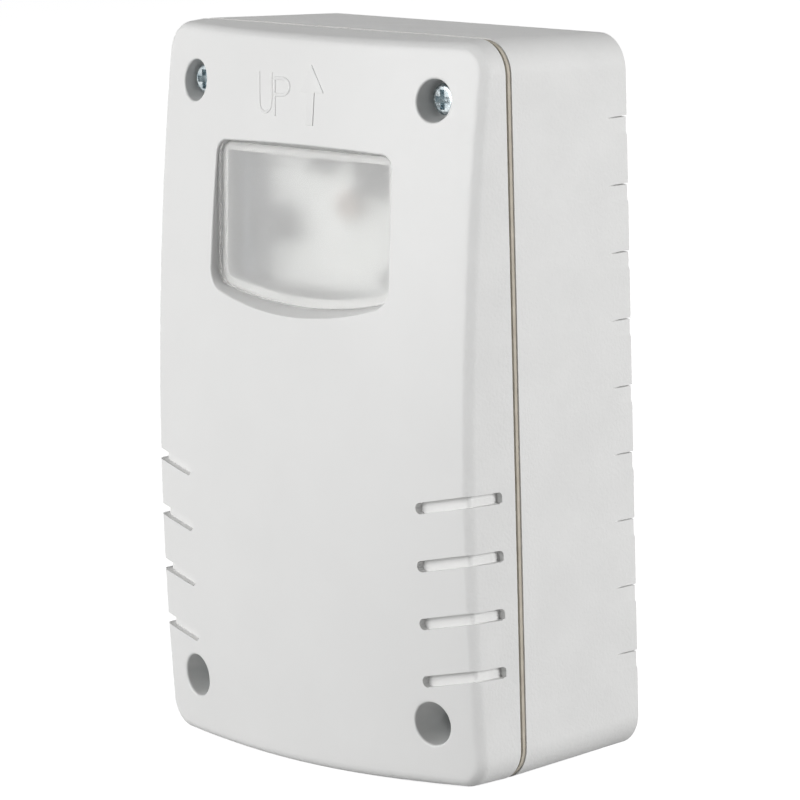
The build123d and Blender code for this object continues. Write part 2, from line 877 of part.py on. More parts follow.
gear_plate_screws.part.label = "gear_plate_screws"
export_step(gear_plate_screws.part, "parts/gear_plate_screws.step")

with BuildPart() as drum_bushes:
    for start, end in ((drum_boss_top - bush_length, drum_boss_top), (plate_depth, plate_front)):
        rod(drum_place, start, end, bush_radius)
        rod(drum_place, start, end, drum_shaft_radius + drum_shaft_clearance, Mode.SUBTRACT)

drum_bushes.part.label = "drum_bushes"
export_step(drum_bushes.part, "parts/drum_bushes.step")

with BuildPart() as cord_drum:
    rod(drum_place, drum_rear, drum_front, drum_core_radius)
    for start in (drum_rear, drum_front - drum_flange_thickness):
        rod(drum_place, start, start + drum_flange_thickness, drum_flange_radius)
    rod(drum_place, drum_rear, drum_front, drum_shaft_radius, Mode.SUBTRACT)
    anchor = (drum_x + (drum_core_radius + drum_flange_radius) / 2, drum_z)
    rod(anchor, drum_rear, drum_rear + drum_flange_thickness, cord_hole_radius, Mode.SUBTRACT)

cord_drum.part.label = "cord_drum"
export_step(cord_drum.part, "parts/cord_drum.step")

with BuildPart() as drum_shaft:
    shaft_start = drum_boss_top - bush_length + shaft_spare
    rod(drum_place, shaft_start, drum_gear_front + clip_thickness + shaft_spare, drum_shaft_radius)

drum_shaft.part.label = "drum_shaft"
export_step(drum_shaft.part, "parts/drum_shaft.step")

with BuildPart() as drum_gear:
    gear_layer(0, drum_place, drum_teeth, second_bearing)
    rod(drum_place, layer_depths[0], drum_gear_front, drum_shaft_radius, Mode.SUBTRACT)
    for number in range(web_hole_count):
        place = step_from(drum_place, number * 360 / web_hole_count, web_hole_reach)
        rod(place, layer_depths[0], drum_gear_front, web_hole_radius, Mode.SUBTRACT)

drum_gear.part.label = "drum_gear"
export_step(drum_gear.part, "parts/drum_gear.step")

with BuildPart() as drum_clip:
    clip_front = drum_gear_front + clip_thickness
    rod(drum_place, drum_gear_front, clip_front, clip_radius)
    rod(drum_place, drum_gear_front, clip_front, drum_shaft_radius, Mode.SUBTRACT)
    slit = (drum_x + clip_radius, drum_z)
    block(slit, (clip_radius, clip_radius), drum_gear_front, clip_front, Mode.SUBTRACT)

drum_clip.part.label = "drum_clip"
export_step(drum_clip.part, "parts/drum_clip.step")

with BuildPart() as second_gear:
    pinion_bearing = gap_bearing(second_bearing, pinion_teeth)
    gear_layer(0, second_place, pinion_teeth, pinion_bearing, gear_width + gear_gap)
    gear_layer(1, second_place, wheel_teeth, first_bearing)
    bore = axle_radius + axle_clearance
    rod(second_place, layer_depths[0], layer_depths[1] + gear_width, bore, Mode.SUBTRACT)

second_gear.part.label = "second_gear"
export_step(second_gear.part, "parts/second_gear.step")

with BuildPart() as first_gear:
    rod(first_place, layer_depths[0], layer_depths[1], hub_radius)
    pinion_bearing = gap_bearing(first_bearing, pinion_teeth)
    gear_layer(1, first_place, pinion_teeth, pinion_bearing, gear_width + gear_gap)
    gear_layer(2, first_place, wheel_teeth, motor_bearing)
    rod(first_place, layer_depths[0], train_front, axle_radius + axle_clearance, Mode.SUBTRACT)

first_gear.part.label = "first_gear"
export_step(first_gear.part, "parts/first_gear.step")

axle_ends = {
    "first_axle": (first_place, train_front),
    "second_axle": (second_place, layer_depths[1] + gear_width),
}
for axle_name, (place, end) in axle_ends.items():
    with BuildPart() as axle:
        rod(place, plate_depth, end + axle_end_gap, axle_radius)
        rod(place, end + axle_end_gap, end + axle_end_gap + axle_head, axle_head_radius)
    axle.part.label = axle_name
    export_step(axle.part, f"parts/{axle_name}.step")

# ---------------------------------------------------------------- motor
with BuildPart() as motor_can:
    rod(motor_place, motor_rear, plate_depth, motor_radius)
    rod(motor_place, motor_rear, plate_depth - can_wall, motor_radius - can_wall, Mode.SUBTRACT)
    rod(motor_place, plate_depth, plate_depth + motor_boss_height, motor_boss_radius)
    bore = motor_shaft_radius + axle_clearance
    rod(motor_place, motor_rear, plate_depth + motor_boss_height, bore, Mode.SUBTRACT)
    for place in motor_screw_places:
        rod(place, plate_depth - can_wall, plate_depth, small_screw_radius, Mode.SUBTRACT)

motor_can.part.label = "motor_can"
export_step(motor_can.part, "parts/motor_can.step")

with BuildPart() as motor_magnets:
    rod(motor_place, magnet_rear, magnet_front, motor_radius - can_wall)
    rod(motor_place, magnet_rear, magnet_front, magnet_inner_radius, Mode.SUBTRACT)
    block(motor_place, (magnet_slit, 2 * motor_radius), magnet_rear, magnet_front, Mode.SUBTRACT)

motor_magnets.part.label = "motor_magnets"
export_step(motor_magnets.part, "parts/motor_magnets.step")

with BuildPart() as motor_rotor:
    rotor_radius = magnet_inner_radius - air_gap
    rod(motor_place, magnet_rear, magnet_front, rotor_radius)
    for pole in range(rotor_poles):
        turned = face_plane(magnet_rear, *motor_place).rotated((0, 0, pole * 360 / rotor_poles))
        with BuildSketch(turned):
            with Locations(((rotor_radius + rotor_slot_floor) / 2, 0)):
                Rectangle(rotor_radius - rotor_slot_floor, rotor_slot_width)
        extrude(amount=magnet_front - magnet_rear, mode=Mode.SUBTRACT)
    rod(motor_place, magnet_rear, magnet_front, motor_shaft_radius, Mode.SUBTRACT)

motor_rotor.part.label = "motor_rotor"
export_step(motor_rotor.part, "parts/motor_rotor.step")

with BuildPart() as motor_end_cap:
    rod(motor_place, motor_cap_rear, motor_rear, motor_radius)
    rod(motor_place, motor_rear, motor_rear + cap_spigot, motor_radius - can_wall)
    rod(motor_place, motor_rear, motor_rear + cap_spigot, motor_radius - 2 * can_wall, Mode.SUBTRACT)
    rod(motor_place, motor_rear, motor_rear + cap_spigot, cap_bearing_radius)
    bore = motor_shaft_radius + axle_clearance
    rod(motor_place, shaft_rear - axle_end_gap, motor_rear + cap_spigot, bore, Mode.SUBTRACT)

motor_end_cap.part.label = "motor_end_cap"
export_step(motor_end_cap.part, "parts/motor_end_cap.step")

with BuildPart() as motor_tags:
    for side in (-1, 1):
        place = (motor_place[0] + side * motor_tag_reach, motor_place[1])
        block(place, (motor_tag_height, motor_tag_width), motor_cap_rear - motor_tag_length, motor_cap_rear)

motor_tags.part.label = "motor_tags"
export_step(motor_tags.part, "parts/motor_tags.step")

with BuildPart() as motor_shaft:
    rod(motor_place, shaft_rear, train_front, motor_shaft_radius)

motor_shaft.part.label = "motor_shaft"
export_step(motor_shaft.part, "parts/motor_shaft.step")

with BuildPart() as motor_pinion:
    gear_layer(2, motor_place, pinion_teeth, gap_bearing(motor_bearing, pinion_teeth))
    rod(motor_place, layer_depths[1], layer_depths[2], pinion_collar_radius)
    rod(motor_place, layer_depths[1], train_front, motor_shaft_radius, Mode.SUBTRACT)

motor_pinion.part.label = "motor_pinion"
export_step(motor_pinion.part, "parts/motor_pinion.step")

with BuildPart() as motor_screws:
    for place in motor_screw_places:
        add(small_screw(place, plate_front, motor_screw_length))

motor_screws.part.label = "motor_screws"
export_step(motor_screws.part, "parts/motor_screws.step")

# ---------------------------------------------------------------- slack cord switch
with BuildPart() as slack_switch:
    block(switch_place, (switch_length, switch_height), switch_rear, switch_front)
    for start in (switch_rear, switch_front - ear_thickness):
        end = start + ear_thickness
        rod(pivot_place, start, end, ear_radius)
        block((pivot_x, (pivot_z + switch_top) / 2), (2 * ear_radius, pivot_z - switch_top), start, end)
    rod(pivot_place, switch_rear, switch_front, pivot_radius, Mode.SUBTRACT)
    for place in switch_hole_places:
        hole = switch_screw_radius + switch_screw_clearance
        rod(place, switch_rear, switch_front, hole, Mode.SUBTRACT)
    well = plunger_radius + plunger_clearance
    upright((plunger_x, switch_middle), switch_top, switch_top - plunger_well, well, Mode.SUBTRACT)
    for tag_x in switch_tag_places:
        upright((tag_x, switch_middle), switch_bottom, switch_bottom - switch_tag_length, lead_radius)

slack_switch.part.label = "slack_switch"
export_step(slack_switch.part, "parts/slack_switch.step")

with BuildPart() as slack_plunger:
    upright((plunger_x, switch_middle), switch_top - plunger_sink, plunger_top, plunger_radius)
    fillet(slack_plunger.faces().sort_by(Axis.Z)[-1].edges(), radius=plunger_radius / 2)

slack_plunger.part.label = "slack_plunger"
export_step(slack_plunger.part, "parts/slack_plunger.step")

with BuildPart() as slack_lever:
    rise = radians(lever_angle)
    lever_run = Plane(
        origin=(pivot_x, -switch_middle, pivot_z),
        x_dir=(-cos(rise), 0, sin(rise)),
        z_dir=(sin(rise), 0, cos(rise)),
    )
    with BuildSketch(lever_run):
        with Locations((lever_reach / 2, 0)):
            Rectangle(lever_reach, lever_width)
        with Locations((lever_reach, 0)):
            Circle(lever_eye_radius + lever_eye_margin)
            Circle(lever_eye_radius, mode=Mode.SUBTRACT)
    extrude(amount=lever_thickness / 2, both=True)
    rod(pivot_place, lever_rear, lever_front, lever_barrel)
    rod(pivot_place, lever_rear, lever_front, pivot_radius + pivot_clearance, Mode.SUBTRACT)

slack_lever.part.label = "slack_lever"
export_step(slack_lever.part, "parts/slack_lever.step")

with BuildPart() as slack_pin:
    rod(pivot_place, switch_rear, switch_front, pivot_radius)

slack_pin.part.label = "slack_pin"
export_step(slack_pin.part, "parts/slack_pin.step")

with BuildPart() as slack_switch_screws:
    for place in switch_hole_places:
        head = (switch_head_radius, small_head_height)
        add(screw(place, switch_front, switch_screw_length, switch_screw_radius, *head))

slack_switch_screws.part.label = "slack_switch_screws"
export_step(slack_switch_screws.part, "parts/slack_switch_screws.step")

# ---------------------------------------------------------------- battery
with BuildPart() as battery_tray:
    block(tray_place, (tray_width, tray_length), tray_rear, tray_side_depth)
    for side in (-1, 1):
        place = (tray_centre_x, tray_centre_z + side * (tray_length - tray_end_wall) / 2)
        block(place, (tray_width, tray_end_wall), tray_rear, tray_end_depth)
    block(tray_place, (bay_width, bay_length), tray_front, tray_end_depth, Mode.SUBTRACT)
    for place in tray_screw_places:
        rod(place, tray_rear, tray_front, small_screw_radius + screw_clearance, Mode.SUBTRACT)
    for column in cell_columns:
        hole = lead_radius + lead_clearance
        upright((column, cell_lead_depth), bay_top, bay_top + tray_end_wall, hole, Mode.SUBTRACT)

battery_tray.part.label = "battery_tray"
export_step(battery_tray.part, "parts/battery_tray.step")

with BuildPart() as tray_screws:
    for place in tray_screw_places:
        add(small_screw(place, tray_front, tray_screw_length))

tray_screws.part.label = "tray_screws"
export_step(tray_screws.part, "parts/tray_screws.step")

with BuildPart() as cell_contacts:
    for column in cell_columns:
        contact(bay_bottom, cell_rows, [column], 1)
        contact(bay_top, cell_rows[1:], [column], -1)
    contact(bay_top, cell_rows[:1], cell_columns, -1)

cell_contacts.part.label = "cell_contacts"
export_step(cell_contacts.part, "parts/cell_contacts.step")

cell_places = [(column, row) for column in cell_columns for row in cell_rows]
for number, place in enumerate(cell_places):
    nub_up = number in (1, 2)
    low = bay_bottom + contact_height + (0 if nub_up else cell_nub_length)
    high = bay_top - contact_height - (cell_nub_length if nub_up else 0)
    with BuildPart() as aa_cell:
        upright(place, low, high, cell_radius)
        fillet(aa_cell.edges().filter_by(GeomType.CIRCLE), radius=cell_end_round)
        upright(place, bay_bottom + contact_height, bay_top - contact_height, cell_nub_radius)
    aa_cell.part.label = f"aa_cell_{number + 1}"
    export_step(aa_cell.part, f"parts/aa_cell_{number + 1}.step")

# ---------------------------------------------------------------- circuit board
with BuildPart() as circuit_board:
    with BuildSketch(face_plane(board_depth, *board_place)):
        RectangleRounded(board_width, board_top - board_bottom, board_round)
    extrude(amount=board_thickness)
    for place in board_post_places:
        rod(place, board_depth, board_front, small_screw_radius + screw_clearance, Mode.SUBTRACT)

circuit_board.part.label = "circuit_board"
export_step(circuit_board.part, "parts/circuit_board.step")

with BuildPart() as board_screws:
    for place in board_post_places:
        add(small_screw(place, board_front, small_screw_length))

board_screws.part.label = "board_screws"
export_step(board_screws.part, "parts/board_screws.step")

terminal_top = board_front + terminal_height
terminal_floor = terminal_top - terminal_hole_depth
terminal_places = [
    (terminal_x, terminal_z + (pole - (terminal_poles - 1) / 2) * terminal_length / terminal_poles)
    for pole in range(terminal_poles)
]
with BuildPart() as terminal_strip:
    block((terminal_x, terminal_z), (terminal_width, terminal_length), board_front, terminal_top)
    for place in terminal_places:
        rod(place, terminal_floor, terminal_top, terminal_hole_radius, Mode.SUBTRACT)

terminal_strip.part.label = "terminal_strip"
export_step(terminal_strip.part, "parts/terminal_strip.step")

with BuildPart() as terminal_screws:
    screw_radius = terminal_hole_radius - terminal_screw_clearance
    for place in terminal_places:
        rod(place, terminal_floor, terminal_floor + terminal_screw_height, screw_radius)
        slot_size = (2 * screw_radius, terminal_slot_width)
        slot_floor = terminal_floor + terminal_screw_height / 2
        block(place, slot_size, slot_floor, terminal_top, Mode.SUBTRACT)

terminal_screws.part.label = "terminal_screws"
export_step(terminal_screws.part, "parts/terminal_screws.step")

with BuildPart() as capacitor:
    rod((capacitor_x, capacitor_z), board_front, board_front + capacitor_height, capacitor_radius)
    fillet(capacitor.faces().sort_by(Axis.Y)[0].edges(), radius=capacitor_round)

capacitor.part.label = "capacitor"
export_step(capacitor.part, "parts/capacitor.step")

with BuildPart() as light_sensor:
    rod((sensor_x, sensor_z), board_front, board_front + sensor_height, sensor_radius)

light_sensor.part.label = "light_sensor"
export_step(light_sensor.part, "parts/light_sensor.step")

with BuildPart() as status_led:
    rod((led_x, led_z), board_front, board_front + led_height, led_radius)
    fillet(status_led.faces().sort_by(Axis.Y)[0].edges(), radius=led_dome)

status_led.part.label = "status_led"
export_step(status_led.part, "parts/status_led.step")

with BuildPart() as microcontroller:
    chip((controller_x, controller_z), controller_length, controller_width, controller_height)

microcontroller.part.label = "microcontroller"
export_step(microcontroller.part, "parts/microcontroller.step")

with BuildPart() as motor_driver:
    chip((driver_x, driver_z), driver_length, driver_width, driver_height)

motor_driver.part.label = "motor_driver"
export_step(motor_driver.part, "parts/motor_driver.step")

with BuildPart() as chip_resistors:
    for number in range(resistor_count):
        place = (resistor_first_x + number * resistor_pitch, resistor_z)
        block(place, (resistor_width, resistor_length), board_front, board_front + resistor_height)

chip_resistors.part.label = "chip_resistors"
export_step(chip_resistors.part, "parts/chip_resistors.step")

button_place = (button_x, button_z)
button_base_top = board_front + button_base_height
with BuildPart() as button_housing:
    block(button_place, (button_base, button_base), board_front, button_base_top)
    well = button_radius + button_clearance
    rod(button_place, button_base_top - button_well, button_base_top, well, Mode.SUBTRACT)

button_housing.part.label = "button_housing"
export_step(button_housing.part, "parts/button_housing.step")

with BuildPart() as manual_button:
    rod(button_place, button_base_top - button_sink, button_base_top + button_rise, button_radius)

manual_button.part.label = "manual_button"
export_step(manual_button.part, "parts/manual_button.step")

trimmer_place = (trimmer_x, trimmer_z)
trimmer_top = board_front + trimmer_base_height
with BuildPart() as trimmer_housing:
    block(trimmer_place, (trimmer_base, trimmer_base), board_front, trimmer_top)
    well = trimmer_radius + trimmer_clearance
    rod(trimmer_place, trimmer_top - trimmer_sink, trimmer_top, well, Mode.SUBTRACT)

trimmer_housing.part.label = "trimmer_housing"
export_step(trimmer_housing.part, "parts/trimmer_housing.step")

with BuildPart() as trimmer_dial:
    dial_front = trimmer_top + trimmer_rise
    rod(trimmer_place, trimmer_top - trimmer_sink + trimmer_clearance, dial_front, trimmer_radius)
    slot_size = (2 * trimmer_radius, trimmer_slot_width)
    block(trimmer_place, slot_size, dial_front - trimmer_slot_depth, dial_front, Mode.SUBTRACT)

trimmer_dial.part.label = "trimmer_dial"
export_step(trimmer_dial.part, "parts/trimmer_dial.step")

slide_place = (slide_x, slide_z)
slide_front = board_front + slide_height
slide_well_floor = slide_front - slide_well_depth
with BuildPart() as power_switch:
    block(slide_place, (slide_width, slide_length), board_front, slide_front)
    well_size = (
        slide_knob_width + 2 * slide_clearance,
        slide_knob_length + slide_travel + 2 * slide_clearance,
    )
    block(slide_place, well_size, slide_well_floor, slide_front, Mode.SUBTRACT)

power_switch.part.label = "power_switch"
export_step(power_switch.part, "parts/power_switch.step")

with BuildPart() as power_knob:
    knob_place = (slide_x, slide_z - slide_travel / 2)
    knob_size = (slide_knob_width, slide_knob_length)
    block(knob_place, knob_size, slide_well_floor + slide_clearance, slide_front + slide_knob_rise)

power_knob.part.label = "power_knob"
export_step(power_knob.part, "parts/power_knob.step")

with BuildPart() as battery_header:
    header_place = (header_x, header_z)
    header_top = board_front + header_height
    block(header_place, (header_width, header_length), board_front, header_top)
    inner = (header_width - 2 * header_wall, header_length - 2 * header_wall)
    block(header_place, inner, board_front + header_floor, header_top, Mode.SUBTRACT)

battery_header.part.label = "battery_header"
export_step(battery_header.part, "parts/battery_header.step")

with BuildPart() as header_pins:
    pin_size = (header_pin_width, header_pin_width)
    pin_rear = board_front + header_floor
    for pin_x in header_pin_places:
        block((pin_x, header_z), pin_size, pin_rear, pin_rear + header_pin_rise)

header_pins.part.label = "header_pins"
export_step(header_pins.part, "parts/header_pins.step")

# ---------------------------------------------------------------- leads
header_bottom = header_z - header_length / 2
tag_edge = motor_place[1] + motor_tag_width / 2
tag_end = switch_bottom - switch_tag_length


def cell_lead(number):
    """From a front cell's contact to the header's lower side."""
    column, pin_x, turn = cell_columns[number], header_pin_places[number], cell_lead_turns[number]
    return lead(
        [
            (column, cell_lead_depth, bay_top),
            (column, cell_lead_depth, turn),
            (pin_x, header_lead_depth, turn),
            (pin_x, header_lead_depth, header_bottom),
        ]
    )


def motor_lead(side):
    """From a motor tag up past the motor and forward to the board's rear."""
    tag_x = motor_place[0] + side * motor_tag_reach
    return lead(
        [
            (tag_x, motor_lead_depth, tag_edge),
            (tag_x, motor_lead_depth, motor_lead_top),
            (tag_x, board_depth, motor_lead_top),
        ]
    )


def switch_lead(number):
    """From a switch tag down, back to the floor and up between drum and tray to the board."""
    tag_x = switch_tag_places[number]
    depth = switch_lead_depth + number * lead_pitch
    low = switch_lead_bottom - number * lead_pitch
    high = switch_lead_top - number * lead_pitch
    return lead(
        [
            (tag_x, switch_middle, tag_end),
            (tag_x, switch_middle, low),
            (tag_x, depth, low),
            (switch_lead_x, depth, low),
            (switch_lead_x, depth, high),
            (switch_lead_x, board_depth, high),
        ]
    )


for number, (lead_name, side) in enumerate({"red_leads": -1, "black_leads": 1}.items()):
    with BuildPart() as leads:
        add(cell_lead(number))
        add(motor_lead(side))
        add(switch_lead(number))
    leads.part.label = lead_name
    export_step(leads.part, f"parts/{lead_name}.step")
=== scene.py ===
import json
from math import cos, pi, radians, sin, sqrt

import bmesh
import bpy
from mathutils import Matrix, Vector

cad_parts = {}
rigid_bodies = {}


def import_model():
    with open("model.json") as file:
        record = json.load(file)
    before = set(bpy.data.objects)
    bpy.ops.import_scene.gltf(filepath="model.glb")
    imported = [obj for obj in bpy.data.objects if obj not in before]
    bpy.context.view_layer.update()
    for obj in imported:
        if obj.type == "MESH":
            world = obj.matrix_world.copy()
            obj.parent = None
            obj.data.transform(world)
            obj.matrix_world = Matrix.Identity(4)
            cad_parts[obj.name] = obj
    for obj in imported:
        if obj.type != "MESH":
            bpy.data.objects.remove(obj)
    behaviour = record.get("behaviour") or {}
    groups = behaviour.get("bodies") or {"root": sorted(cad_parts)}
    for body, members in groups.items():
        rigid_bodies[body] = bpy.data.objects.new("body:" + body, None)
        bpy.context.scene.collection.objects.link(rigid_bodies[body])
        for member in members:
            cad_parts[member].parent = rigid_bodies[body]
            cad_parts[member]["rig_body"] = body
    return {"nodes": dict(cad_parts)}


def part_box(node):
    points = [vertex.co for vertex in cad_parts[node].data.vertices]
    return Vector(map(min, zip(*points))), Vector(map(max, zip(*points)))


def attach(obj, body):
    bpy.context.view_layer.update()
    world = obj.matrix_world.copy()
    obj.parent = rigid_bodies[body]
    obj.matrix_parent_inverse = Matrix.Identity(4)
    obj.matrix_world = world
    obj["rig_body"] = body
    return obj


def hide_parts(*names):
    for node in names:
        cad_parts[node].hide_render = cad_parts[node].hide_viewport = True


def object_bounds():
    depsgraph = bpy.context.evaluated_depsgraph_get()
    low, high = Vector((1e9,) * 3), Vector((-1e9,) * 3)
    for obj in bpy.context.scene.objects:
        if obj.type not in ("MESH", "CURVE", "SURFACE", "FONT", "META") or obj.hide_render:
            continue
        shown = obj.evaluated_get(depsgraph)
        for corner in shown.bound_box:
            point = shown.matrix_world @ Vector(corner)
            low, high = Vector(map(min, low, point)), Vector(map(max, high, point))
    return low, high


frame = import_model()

cad_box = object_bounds()
nodes = frame["nodes"]
scene = bpy.context.scene
MM = 0.001


# ---------------------------------------------------------------- material tools
def linear(code):
    """An sRGB hex colour as linear RGBA."""
    channels = [int(code[i : i + 2], 16) / 255 for i in (1, 3, 5)]
    return [c / 12.92 if c <= 0.04045 else ((c + 0.055) / 1.055) ** 2.4 for c in channels] + [1.0]


def add_node(tree, kind, settings=None, links=None):
    """Adds a node; settings are inputs or attributes by name, links are inputs fed by sockets."""
    node = tree.nodes.new(kind)
    for key, value in (settings or {}).items():
        if isinstance(key, int) or key in node.inputs:
            node.inputs[key].default_value = value
        else:
            setattr(node, key, value)
    for key, socket in (links or {}).items():
        tree.links.new(socket, node.inputs[key])
    return node


def new_material(name):
    """An empty material, its tree, and the place on the piece that its patterns read."""
    material = bpy.data.materials.new(name)
    material.use_nodes = True
    material.node_tree.nodes.clear()
    return material, material.node_tree, add_node(material.node_tree, "ShaderNodeTexCoord").outputs["Object"]


NOISE_LOW, NOISE_HIGH = 0.32, 0.68  # where nearly all of a noise's values lie
WAVE_PERIOD = 2 * pi / 20  # of the wave texture at a scale of 1


def surface(name, light, dark, gloss, grain_mm, relief_mm, cloud_mm=9.0, stretch=(1, 1, 1), **shader):
    """Two near tones in soft clouds, and a grain that both stands up and breaks the gloss."""
    material, tree, place = new_material(name)
    drawn = add_node(tree, "ShaderNodeMapping", {"Scale": stretch}, {"Vector": place}).outputs[0]
    cloud = add_node(
        tree, "ShaderNodeTexNoise", {"Scale": 1 / (cloud_mm * MM), "Detail": 3.0}, {"Vector": place}
    ).outputs["Fac"]
    share = add_node(
        tree, "ShaderNodeMapRange", {"From Min": NOISE_LOW, "From Max": NOISE_HIGH}, {"Value": cloud}
    ).outputs["Result"]
    colour = add_node(
        tree, "ShaderNodeMix", {"data_type": "RGBA", 6: linear(light), 7: linear(dark)}, {0: share}
    ).outputs[2]
    grain = add_node(
        tree, "ShaderNodeTexNoise", {"Scale": 1 / (grain_mm * MM), "Detail": 2.0}, {"Vector": drawn}
    ).outputs["Fac"]
    roughness = add_node(
        tree,
        "ShaderNodeMapRange",
        {"From Min": NOISE_LOW, "From Max": NOISE_HIGH, "To Min": gloss[0], "To Max": gloss[1]},
        {"Value": grain},
    ).outputs["Result"]
    relief = add_node(tree, "ShaderNodeBump", {"Distance": relief_mm * MM}, {"Height": grain}).outputs[0]
    links = {"Base Color": colour, "Roughness": roughness, "Normal": relief}
    shaded = add_node(tree, "ShaderNodeBsdfPrincipled", shader, links)
    add_node(tree, "ShaderNodeOutputMaterial", {}, {"Surface": shaded.outputs[0]})
    return material


METAL = {"Metallic": 1.0}
TURNED = (1, 0.06, 1)  # lines round a shaft that lies along the depth

# ---------------------------------------------------------------- the two halves and what closes them
# ABS moulded against a spark-eroded tool: an even grain that breaks the gloss into a dull sparkle.
# The real grain is about 0.1 mm wide; it is drawn at 0.5 mm so that it shows.
grained_abs = surface(
    "abs_spark_eroded_light_grey", "#ebebea", "#e7e7e6", (0.56, 0.74), 0.5, 0.06, IOR=1.54
)
# ABS moulded against a stoned tool: nearly smooth, so the front keeps a soft broad sheen
satin_abs = surface(
    "abs_stoned_satin_light_grey", "#ebebea", "#e9e9e8", (0.38, 0.46), 0.9, 0.006, 14.0, IOR=1.54
)
# foam rubber cord, cut from sheet: open cells of a quarter millimetre, no gloss at all. Its cream is painted
# darker than the foam's own, as painted shade of the narrow gap between cover and housing where the seal
# shows
gap_shaded_foam_seal = surface(
    "foam_rubber_cream_darkened_as_gap_shade", "#cfc8ba", "#bfb7a9", (0.8, 0.95), 0.25, 0.05, 3.0, IOR=1.5
)
# zinc plating on a cold-headed steel screw: bluish, bright on the rims, hazy where it was struck
zinc_plate = surface(
    "zinc_plated_steel_bluish", "#cfd6d8", "#8f9ca2", (0.12, 0.34), 0.3, 0.02, 1.2, **METAL
)
# nitrile rubber moulded in one shot: dull black with a faint bloom
nitrile = surface("nitrile_rubber_moulded", "#222324", "#2b2c2d", (0.6, 0.78), 0.3, 0.01, 2.0, IOR=1.52)

# ---------------------------------------------------------------- gears, shafts and plate
# steel rod ground between centres: fine rings that draw a highlight out along the shaft
ground_steel = surface(
    "steel_rod_ground", "#b9bab9", "#a4a5a5", (0.18, 0.32), 0.2, 0.006, 4.0, TURNED, **METAL
)
# electro-galvanised sheet: flat grey with a soft spangle
zinc_sheet = surface(
    "steel_sheet_electro_galvanised", "#b6babd", "#999ea2", (0.3, 0.48), 0.35, 0.006, 5.0, **METAL
)
# free-cutting brass from the lathe: warm, with close turned rings
turned_brass = surface(
    "brass_turned", "#d4b26a", "#bb9549", (0.2, 0.34), 0.22, 0.006, 3.0, TURNED, **METAL
)
# acetal, moulded natural: milky white with a waxy gloss that lets a little light in
natural_acetal = surface(
    "acetal_moulded_natural", "#eeede4", "#e3e1d4", (0.3, 0.42), 0.6, 0.006,
    **{"Subsurface Weight": 0.1, "IOR": 1.48},
)
# nylon with glass fibre: black, dulled by fibres that lie near the surface
nylon_black = surface(
    "nylon_glass_filled_black", "#2c2d2e", "#222324", (0.48, 0.68), 0.3, 0.03, 4.0, (1, 0.4, 1), IOR=1.53
)
# ---------------------------------------------------------------- motor
# deep-drawn steel can, nickel plated: draw lines run along it under a warm grey shine
nickel_can = surface(
    "steel_deep_drawn_nickel_plated", "#bcb9b2", "#a19e98", (0.2, 0.34), 0.4, 0.01, 6.0, TURNED, **METAL
)
# ferrite, pressed and sintered: charcoal, dry and faintly gritty
ferrite = surface("ferrite_sintered", "#2f3033", "#232427", (0.62, 0.8), 0.3, 0.03, 3.0)
# copper wire in baked enamel: reddish and glossy, each turn a fine ridge
enamelled_copper = surface(
    "copper_wire_enamelled", "#b5683a", "#8e4a26", (0.18, 0.3), 0.35, 0.08, 1.2, (0.3, 3, 0.3), **METAL
)

# ---------------------------------------------------------------- plain moulded parts
# ABS moulded in a polished tool: deep black with a clean soft gloss
moulded_black = surface("abs_moulded_black", "#1e1f20", "#161718", (0.34, 0.48), 0.4, 0.014, 5.0, IOR=1.54)
# the same in dark grey, from a sand-blasted tool: an even dull skin
moulded_grey = surface("abs_blasted_dark_grey", "#62656a", "#55585c", (0.44, 0.6), 0.4, 0.03, 8.0, IOR=1.54)
# PBT moulded white: slightly creamy, half gloss
moulded_white = surface("pbt_moulded_white", "#ebebe4", "#dfdfd7", (0.34, 0.46), 0.5, 0.01, 4.0, IOR=1.55)
# ABS moulded red for the parts that a finger or a lever presses
moulded_red = surface("abs_moulded_red", "#b9332b", "#a42b25", (0.28, 0.4), 0.5, 0.01, 3.0, IOR=1.54)
# polyamide terminal block, moulded slate blue: dull, as flame-proofed grades are. Its tone is kept dark as
# painted shade, standing in for the shadow that the window's left wall casts on the board behind the pane
terminal_slate_as_wall_shade = surface(
    "polyamide_slate_blue_darkened_as_painted_shade", "#565f6d", "#4a525f", (0.42, 0.56), 0.4, 0.012, 4.0, IOR=1.53
)

# ---------------------------------------------------------------- electrical parts
# spring strip, nickel plated and stamped: bright, with the rolling lines of the strip
nickel_strip = surface(
    "steel_strip_nickel_plated", "#c9c5ba", "#b0ac9f", (0.18, 0.34), 0.3, 0.008, 3.0, (0.2, 1, 1), **METAL
)
# copper alloy with hot tin: soft white metal, a little wavy
tinned = surface("copper_alloy_tinned", "#cfcfc8", "#b2b2aa", (0.2, 0.4), 0.3, 0.02, 1.0, **METAL)
# white solder mask on glass laminate: clean and slightly glossy, a shade greyer over the copper
mask_white = surface(
    "glass_laminate_white_solder_mask", "#f1f2f1", "#eceeec", (0.26, 0.36), 0.5, 0.008, 6.0, IOR=1.55
)
mask_on_copper = surface(
    "white_solder_mask_over_copper", "#e0e5e1", "#dae0dc", (0.22, 0.32), 0.5, 0.008, 6.0, IOR=1.55
)
# solder that set in air: bright, smooth and slightly frosted
solder = surface("tin_solder_reflowed", "#d4d5d2", "#b4b5b2", (0.14, 0.34), 0.5, 0.02, 0.8, **METAL)
# epoxy moulding compound: flat black with a salt-fine texture
chip_epoxy = surface("epoxy_moulding_compound_black", "#252628", "#1a1b1d", (0.5, 0.64), 0.16, 0.016, 3.0)
# alumina chip under a fired glaze: glassy black
fired_glaze = surface("ceramic_fired_glaze_dark", "#26272b", "#1c1d21", (0.14, 0.26), 0.3, 0.004, 1.0)
# polyester sleeve shrunk over the capacitor: dark blue-grey, smooth, tight
shrunk_sleeve = surface("polyester_sleeve_shrunk", "#2b2d39", "#23242e", (0.2, 0.32), 0.5, 0.01, 3.0)
